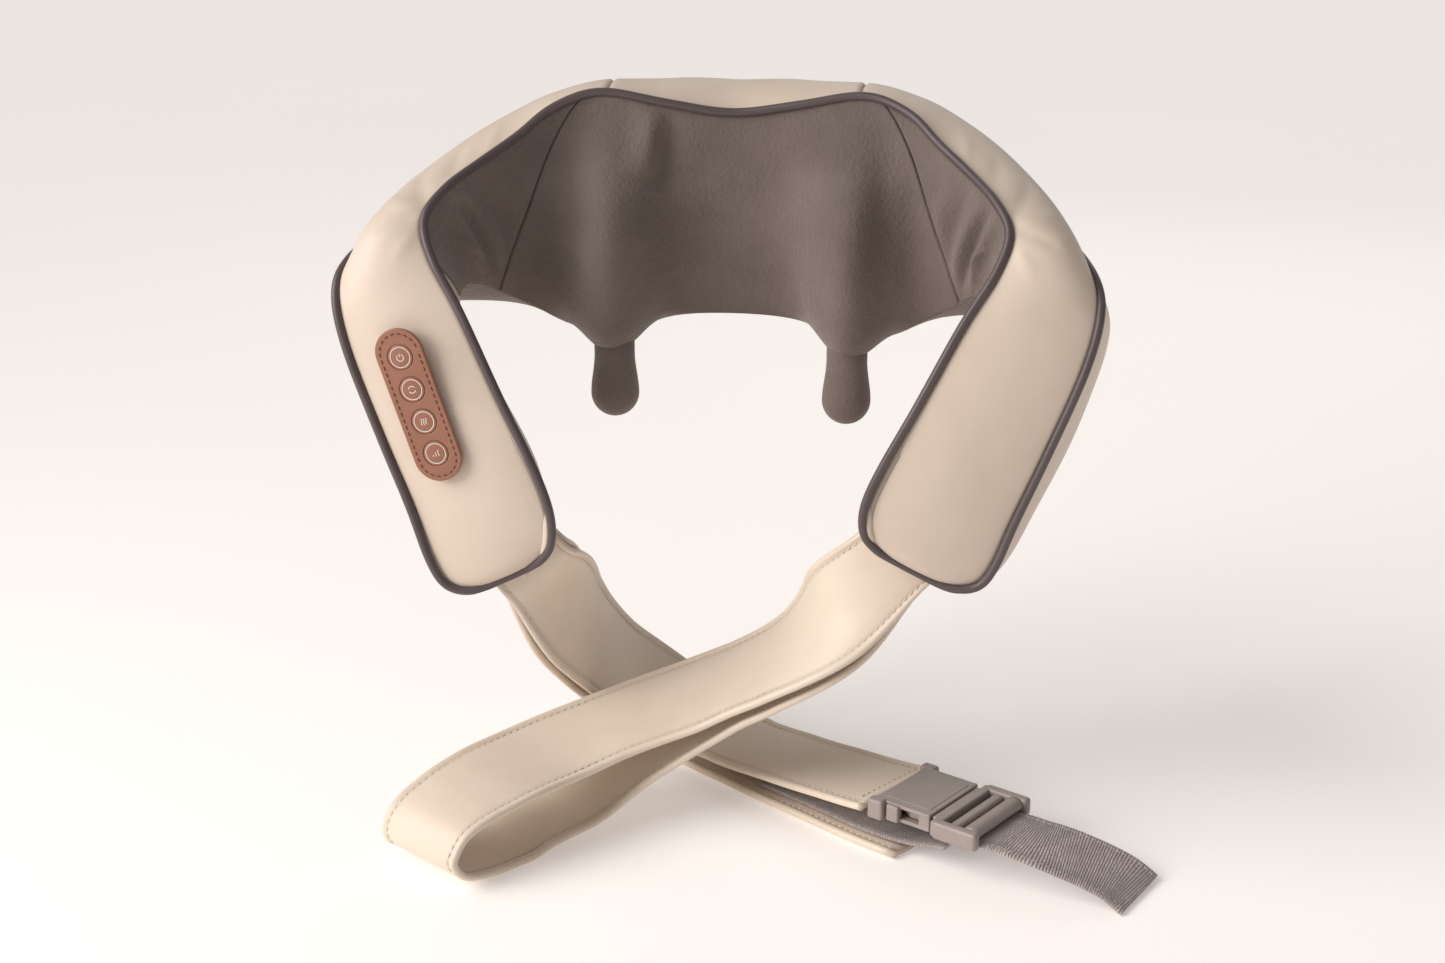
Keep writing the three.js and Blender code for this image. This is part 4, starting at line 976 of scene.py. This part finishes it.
def add_left_strap():
    front = strap_frames(LEFT_STRAP_FRONT, 170)
    under = [values[::-1] for values in second_layer(front)]
    under[2] = -under[2]
    end = [np.array([LEFT_LOWER_END], float), under[1][-1:], under[2][-1:]]
    under = [np.concatenate(parts) for parts in zip(under, end)]
    profile = strap_section()
    upper = rounded_out(reach_in(eased(front, 8), -1))
    lower = rounded_out(reach_in(eased(under, 8), -1))
    bands = [("upper", upper, 0.16), ("lower", lower, 0.1)]
    for band_name, band, ripple in bands:
        ribbon(f"buckle_strap_{band_name}", band, profile, STRAP, "frame",
               [f"left_strap_{band_name}"], ripple, 1)
    for band_name, band, _ in bands:
        stitch_strap(f"buckle_strap_{band_name}", band, 1)
    add_end_bead(upper)


def add_end_bead(frames):
    """The rolled end of the upper band, with its row of stitches."""
    centre, side, behind = [values[-1] for values in frames]
    ahead = unit(frames[0][-1] - frames[0][-2])
    across = np.linspace(-1, 1, 30)[:, None] * (STRAP_WIDTH / 2 - 1.2)
    path = centre + side * across - ahead * 1.6
    ring = tube_points(path, 2.5 * np.sqrt(np.clip(1.02 - np.linspace(-1, 1, 30) ** 8, 0.1, 1)))
    rows, columns = ring.shape[:2]
    faces = capped_faces(rows, columns)
    bead = add_piece("buckle_strap_end_bead", ring.reshape(-1, 3), faces, STRAP, "frame")
    set_even_shade(bead)
    lane = centre + side * across * 0.86 - ahead * 7.0
    lane = lane - behind * (STRAP_THICKNESS / 2 * FLAT_SHARE - 0.1)
    add_stitches("buckle_strap_end_stitches", lane, np.repeat(-behind[None], 30, axis=0), THREAD)


def webbing_section():
    half, flat = WEBBING_WIDTH / 2, WEBBING_THICKNESS / 2
    return [(0, flat), (half * 0.5, flat), (half - 4.5, flat), (half - 3.2, flat * 1.25),
            (half - 1.4, flat * 1.25), (half - 0.4, flat * 0.8), (half, 0.001)]


def add_webbing():
    anchor = strap_frames(ANCHOR_WEBBING, 90)
    profile = webbing_section()
    piece = ribbon("anchor_band", anchor, profile, WEBBING, None, ["anchor_webbing"])
    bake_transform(piece)
    tail = strap_frames(TAIL_WEBBING, 110)
    ribbon("tail_band", tail, profile, WEBBING, "plug", ["adjuster_webbing_tail"])
    centre, side, behind = tail[:3]
    up = np.where(behind[:, 2:] < 0, -behind, behind)
    for edge_name, k in (("near", -1), ("far", 1)):
        path = centre + side * k * (WEBBING_WIDTH / 2 - 3.6) + up * 0.9
        add_stitches(f"tail_{edge_name}_stitches", path, up, WEBBING, "plug", 0.05, 3.4)


# ---------------------------------------------------------------- control patch
PATCH_LENGTH = 83
PATCH_WIDTH = 26
PATCH_THICKNESS = 2.4
BUTTON_RADIUS = 6.6
BUTTON_PITCH = 17.6
SIGN_RING_RADIUS = 5.3
SIGN_STROKE = 0.42
PATCH_CENTRE = (-147.5, -5.6, 241.5)
PATCH_LEAN = math.radians(-18.5)
PATCH_TURN = math.radians(-4.2)

# The patch's own frame has X across, Y through the leather and Z along the arm.
PATCH_FRAME = Matrix.Rotation(PATCH_TURN, 3, "Z") @ Matrix.Rotation(PATCH_LEAN, 3, "Y")


def on_patch(points):
    turn = np.array(PATCH_FRAME)
    return np.asarray(points, float) @ turn.T + np.array(PATCH_CENTRE)


def pill_outline(length, width, steps=28):
    """Points round a pill; each of its straight sides has only its two ends."""
    radius, straight = width / 2, length / 2 - width / 2
    points = []
    for sign in (1, -1):
        for a in np.linspace(0, math.pi, steps):
            points.append((sign * radius * math.cos(a), sign * (straight + radius * math.sin(a))))
    return np.array(points)


def add_patch():
    """A pill of leather with a rolled rim, and a round hole for each button."""
    curve = bpy.data.curves.new("control_patch_outline", "CURVE")
    curve.dimensions = "2D"
    curve.fill_mode = "BOTH"
    curve.extrude = (PATCH_THICKNESS / 2 - 0.7) * MM
    curve.bevel_depth = 0.7 * MM
    curve.bevel_resolution = 3
    heights = [(1.5 - i) * BUTTON_PITCH for i in range(4)]
    outlines = [pill_outline(PATCH_LENGTH - 1.4, PATCH_WIDTH - 1.4)]
    for height in heights:
        angle = np.linspace(0, 2 * np.pi, 48, endpoint=False)[::-1]
        hole = np.stack([np.cos(angle), np.sin(angle)], axis=-1) * (BUTTON_RADIUS + 0.85)
        outlines.append(hole + [0, height])
    for outline in outlines:
        line = curve.splines.new("POLY")
        line.points.add(len(outline) - 1)
        line.use_cyclic_u = True
        for point, (x, z) in zip(line.points, outline):
            point.co = (x * MM, z * MM, 0, 1)
    made = bpy.data.objects.new("control_patch_curve", curve)
    bpy.context.collection.objects.link(made)
    graph = bpy.context.evaluated_depsgraph_get()
    mesh = bpy.data.meshes.new_from_object(made.evaluated_get(graph))
    bpy.data.objects.remove(made)
    flat = np.array([vertex.co for vertex in mesh.vertices]) / MM
    faces = [tuple(polygon.vertices) for polygon in mesh.polygons]
    local = np.stack([flat[:, 0], PATCH_THICKNESS / 2 - flat[:, 2], flat[:, 1]], axis=-1)
    piece = add_piece("patch_leather", on_patch(local), faces, PATCH,
                      stands_for=["control_patch"])
    bpy.data.meshes.remove(mesh)
    angles = piece.modifiers.new("weighted", "WEIGHTED_NORMAL")
    angles.keep_sharp = True
    set_even_shade(piece)
    sewn = pill_outline(PATCH_LENGTH - 5.4, PATCH_WIDTH - 5.4, 40)
    sewn = np.vstack([sewn, sewn[:1]])
    lane = on_patch(np.stack([sewn[:, 0], 0 * sewn[:, 0] - 0.02, sewn[:, 1]], axis=-1))
    out = np.repeat((on_patch([[0, -1, 0]]) - on_patch([[0, 0, 0]])), len(lane), axis=0)
    add_stitches("patch_stitches", lane, out, BROWN_THREAD, height=0.05, pitch=3.6)
    for name, height in zip(("power", "mode", "heat", "speed"), heights):
        add_button(name, height)


def add_button(name, height):
    """A leather disc with a printed ring and a plain sign."""
    profile = [(0.05, 1.3), (6.2, 1.3), (6.55, 1.0), (6.6, 0.3), (6.45, 0.08), (6.1, -0.02), (0.05, -0.05)]
    sides = 56
    angle = np.linspace(0, 2 * np.pi, sides, endpoint=False)
    rings = [np.stack([r * np.cos(angle), np.full(sides, y), r * np.sin(angle) + height], axis=-1)
             for r, y in profile]
    faces = capped_faces(len(profile), sides)
    key = add_piece(f"{name}_key_leather", on_patch(np.vstack(rings)), faces, PATCH, f"{name}_key",
                    [f"{name}_button"])
    set_even_shade(key)
    around = np.linspace(0, 2 * np.pi, 60)
    strokes = [SIGN_RING_RADIUS * np.stack([np.cos(around), np.sin(around)], axis=-1)]
    strokes += SIGNS[name]
    points, faces = [], []
    for stroke in strokes:
        stroke = np.asarray(stroke, float)
        along = unit(np.gradient(stroke, axis=0))
        normal = np.stack([-along[:, 1], along[:, 0]], axis=-1)
        first = len(points)
        for k, y in ((-1, -0.06), (-1, -0.13), (1, -0.13), (1, -0.06)):
            edge = stroke + normal * k * SIGN_STROKE / 2
            points += [(x, y, z + height) for x, z in edge]
        rows = len(stroke)
        for a, b in ((0, 1), (1, 2), (2, 3), (3, 0)):
            for i in range(rows - 1):
                faces.append((first + a * rows + i, first + a * rows + i + 1,
                              first + b * rows + i + 1, first + b * rows + i))
        for end in (0, rows - 1):
            faces.append(tuple(first + k * rows + end for k in range(4)))
    add_piece(f"{name}_key_print", on_patch(points), faces, PRINT, f"{name}_key")


def arc(x, z, radius, start, end):
    angle = np.radians(np.linspace(start, end, 18))
    return np.stack([x + radius * np.cos(angle), z + radius * np.sin(angle)], axis=-1)


def bar(x0, z0, x1, z1):
    return np.linspace((x0, z0), (x1, z1), 6)


def wavy(x):
    z = np.linspace(-1.7, 1.7, 14)
    return np.stack([x + 0.35 * np.sin(z * 1.9), z], axis=-1)


# Plain generic signs: on and off, two turning arrows, heat waves, three steps.
SIGNS = {
    "power": [arc(0, -0.2, 1.8, 125, 415), bar(0, 0.2, 0, 2.1)],
    "mode": [arc(0, 0, 1.8, 20, 160), arc(0, 0, 1.8, 200, 340)],
    "heat": [wavy(-1.3), wavy(0), wavy(1.3)],
    "speed": [bar(-1.5, -1.6, -1.5, -0.4), bar(0, -1.6, 0, 0.6), bar(1.5, -1.6, 1.5, 1.7)],
}


# ---------------------------------------------------------------- buckle
BUCKLE_PLACE = (103.5, 27.5, 24)
BUCKLE_HEADING = math.radians(-31.5)
PRONG_OUTLINE = [(32.4, 11), (32.4, 17), (27.6, 18.2), (26.4, 20.6), (20, 20.6), (11, 16), (11, 13)]
PRONG_THICKNESS = 3.8
ROLLER_X = 58.2
ROLLER_Z = 1.6
ROLLER_HALF_WIDTH = 22.4
ROLLER_LENGTHWISE = 4.9
ROLLER_UPRIGHT = 3.7


def in_buckle(points):
    """X along the pull, Y across the strap, Z up; the strap ends at X = 0."""
    turn = np.array(Matrix.Rotation(BUCKLE_HEADING, 3, "Z"))
    return np.asarray(points, float) @ turn.T + np.array(BUCKLE_PLACE)


def buckle_piece(name, bm, body, stands_for):
    bm.verts.index_update()
    points = [tuple(vertex.co) for vertex in bm.verts]
    faces = [tuple(vertex.index for vertex in f.verts) for f in bm.faces]
    bm.free()
    piece = add_piece(name, in_buckle(points), faces, BUCKLE, body, stands_for)
    set_even_shade(piece)
    return piece


def moulded(name, boxes, body, stands_for):
    """Rounded plastic blocks, each given by its low corner, high corner and edge radius."""
    bm = bmesh.new()
    for low, high, edge in boxes:
        made = bmesh.ops.create_cube(bm, size=1)
        size = [high[k] - low[k] for k in range(3)]
        middle = [(high[k] + low[k]) / 2 for k in range(3)]
        bmesh.ops.scale(bm, vec=size, verts=made["verts"])
        bmesh.ops.translate(bm, vec=middle, verts=made["verts"])
        edges = {e for vertex in made["verts"] for e in vertex.link_edges}
        bmesh.ops.bevel(bm, geom=list(edges), offset=min(edge, min(size) * 0.47), segments=4,
                        profile=0.5, affect="EDGES")
    buckle_piece(name, bm, body, stands_for).modifiers.new("weighted", "WEIGHTED_NORMAL")


def add_buckle():
    socket = [
        ((0, -24, 2.8), (34, 24, 5), 0.7),
        ((0, -24, -5), (34, 24, -2.8), 0.7),
        ((0.2, -23.8, -4.8), (8, 23.8, 4.8), 1.0),
        ((8, 21.2, -4.8), (15, 23.7, 4.8), 0.6),
        ((8, -23.7, -4.8), (15, -21.2, 4.8), 0.6),
        ((27, 21.2, -4.8), (33.8, 23.7, 4.8), 0.6),
        ((27, -23.7, -4.8), (33.8, -21.2, 4.8), 0.6),
        ((-3, -28.5, -6), (6.5, -22, 5.6), 1.6),
        ((-3, 22, -6), (6.5, 28.5, 5.6), 1.6),
        ((8, -26.5, -5), (15.5, -23, 4.4), 1.0),
        ((3, -19, 4.6), (31, 19, 5.3), 0.3),
    ]
    moulded("buckle_socket_shell", socket, "frame", ["buckle_socket"])
    plug = [
        ((34.6, -22, -4.2), (41.5, 22, 4.2), 0.9),
        ((12, -3, -1.8), (36, 3, 1.8), 0.5),
        ((33, -17.2, -2), (36, -10.8, 2), 0.4),
        ((33, 10.8, -2), (36, 17.2, 2), 0.4),
        ((38, -28.6, -5.2), (65, -22.6, 5.2), 2.2),
        ((38, 22.6, -5.2), (65, 28.6, 5.2), 2.2),
        ((36.5, -27.5, -4.5), (42, 27.5, 4.5), 1.2),
        ((44.8, -24, -2.2), (51.2, 24, 3.6), 2.2),
        ((60, -24, -4.5), (63, 24, -2.0), 1.2),
    ]
    moulded("buckle_plug_frame", plug, "plug", ["buckle_plug"])
    for side_name, side in (("near", -1), ("far", 1)):
        add_prong(side_name, side)
    add_roller()


def add_roller():
    """The bar that the webbing runs round, thicker along the pull than through it."""
    count, sides = 24, 24
    angle = np.linspace(0, 2 * np.pi, sides, endpoint=False)
    rings = [np.stack([ROLLER_X + ROLLER_LENGTHWISE * np.cos(angle), np.full(sides, y),
                       ROLLER_Z + ROLLER_UPRIGHT * np.sin(angle)], axis=-1)
             for y in np.linspace(-ROLLER_HALF_WIDTH, ROLLER_HALF_WIDTH, count)]
    piece = add_piece("webbing_roller", in_buckle(np.vstack(rings)), capped_faces(count, sides),
                      BUCKLE, "plug", ["adjuster_bar"])
    set_even_shade(piece)


def add_prong(side_name, side):
    """A latch arm, rounded from the plan outline of its CAD piece."""
    bm = bmesh.new()
    low = [bm.verts.new((x, side * y, -PRONG_THICKNESS / 2)) for x, y in PRONG_OUTLINE]
    face = bm.faces.new(low)
    grown = bmesh.ops.extrude_face_region(bm, geom=[face])
    top = [g for g in grown["geom"] if isinstance(g, bmesh.types.BMVert)]
    bmesh.ops.translate(bm, vec=(0, 0, PRONG_THICKNESS), verts=top)
    bmesh.ops.bevel(bm, geom=bm.edges[:], offset=0.5, segments=3, profile=0.5, affect="EDGES")
    buckle_piece(f"{side_name}_latch_arm", bm, f"{side_name}_latch", [f"{side_name}_prong"])


# ---------------------------------------------------------------- camera, floor and light
# The camera stands to the right of the middle, and looks a little left and down.
EYE = (136.0, -965.5, 522.0)
LOOK_TURN = math.radians(7.5)
LOOK_DOWN = math.radians(18)


def add_camera():
    camera = bpy.data.cameras.new("camera")
    camera.lens = 50
    camera.sensor_width = 36
    holder = bpy.data.objects.new("camera", camera)
    holder.location = Vector(place(EYE))
    holder.rotation_euler = (math.pi / 2 - LOOK_DOWN, 0, LOOK_TURN)
    bpy.context.collection.objects.link(holder)
    bpy.context.scene.camera = holder


WARM = (1.0, 0.955, 0.93)
FLOOR_GLOW = 0.24
STUDIO_GLOW = 0.31


def add_floor():
    bpy.ops.mesh.primitive_plane_add(size=40, location=(0, 0, CAD_BOX[0].z - 0.0006))
    floor = bpy.context.object
    floor.name = "floor"
    paper = new_material("pale_floor", (0.90, 0.865, 0.845), 0.62)
    vary_color(paper, (0.885, 0.85, 0.83), (0.91, 0.877, 0.857), 2, seams=False)
    shader_of(paper).inputs["Emission Color"].default_value = (*WARM, 1)
    shader_of(paper).inputs["Emission Strength"].default_value = FLOOR_GLOW
    floor.data.materials.append(paper)


def add_lamp(name, kind, location, power, color, size):
    """A lamp that looks at the middle of the object; size is metres, or a sun's spread."""
    lamp = bpy.data.lights.new(name, kind)
    lamp.energy = power
    lamp.color = color
    if kind == "SUN":
        lamp.angle = size
    else:
        lamp.size = size
    holder = bpy.data.objects.new(name, lamp)
    holder.location = location
    aim = Vector((0, 0, 0.2)) - Vector(location)
    holder.rotation_euler = aim.to_track_quat("-Z", "Y").to_euler()
    bpy.context.collection.objects.link(holder)


def add_lights():
    add_lamp("key", "SUN", (-1.7, -0.75, 1.6), 2.05, (1.0, 0.965, 0.94), math.radians(48))
    add_lamp("side", "AREA", (-1.0, -0.75, 0.62), 6.5, WARM, 0.6)
    add_lamp("back", "AREA", (0.3, 1.5, 1.1), 2, (1.0, 0.97, 0.94), 1.0)
    world = bpy.data.worlds.new("studio")
    world.use_nodes = True
    sky = world.node_tree.nodes["Background"]
    sky.inputs["Color"].default_value = (*WARM, 1)
    sky.inputs["Strength"].default_value = STUDIO_GLOW
    bpy.context.scene.world = world
    bpy.context.scene.view_settings.view_transform = "Standard"


add_camera()
add_floor()
add_lights()
finish_inside()
add_covers()
add_piping()
add_thumbs()
add_right_strap()
add_left_strap()
add_webbing()
add_patch()
add_buckle()
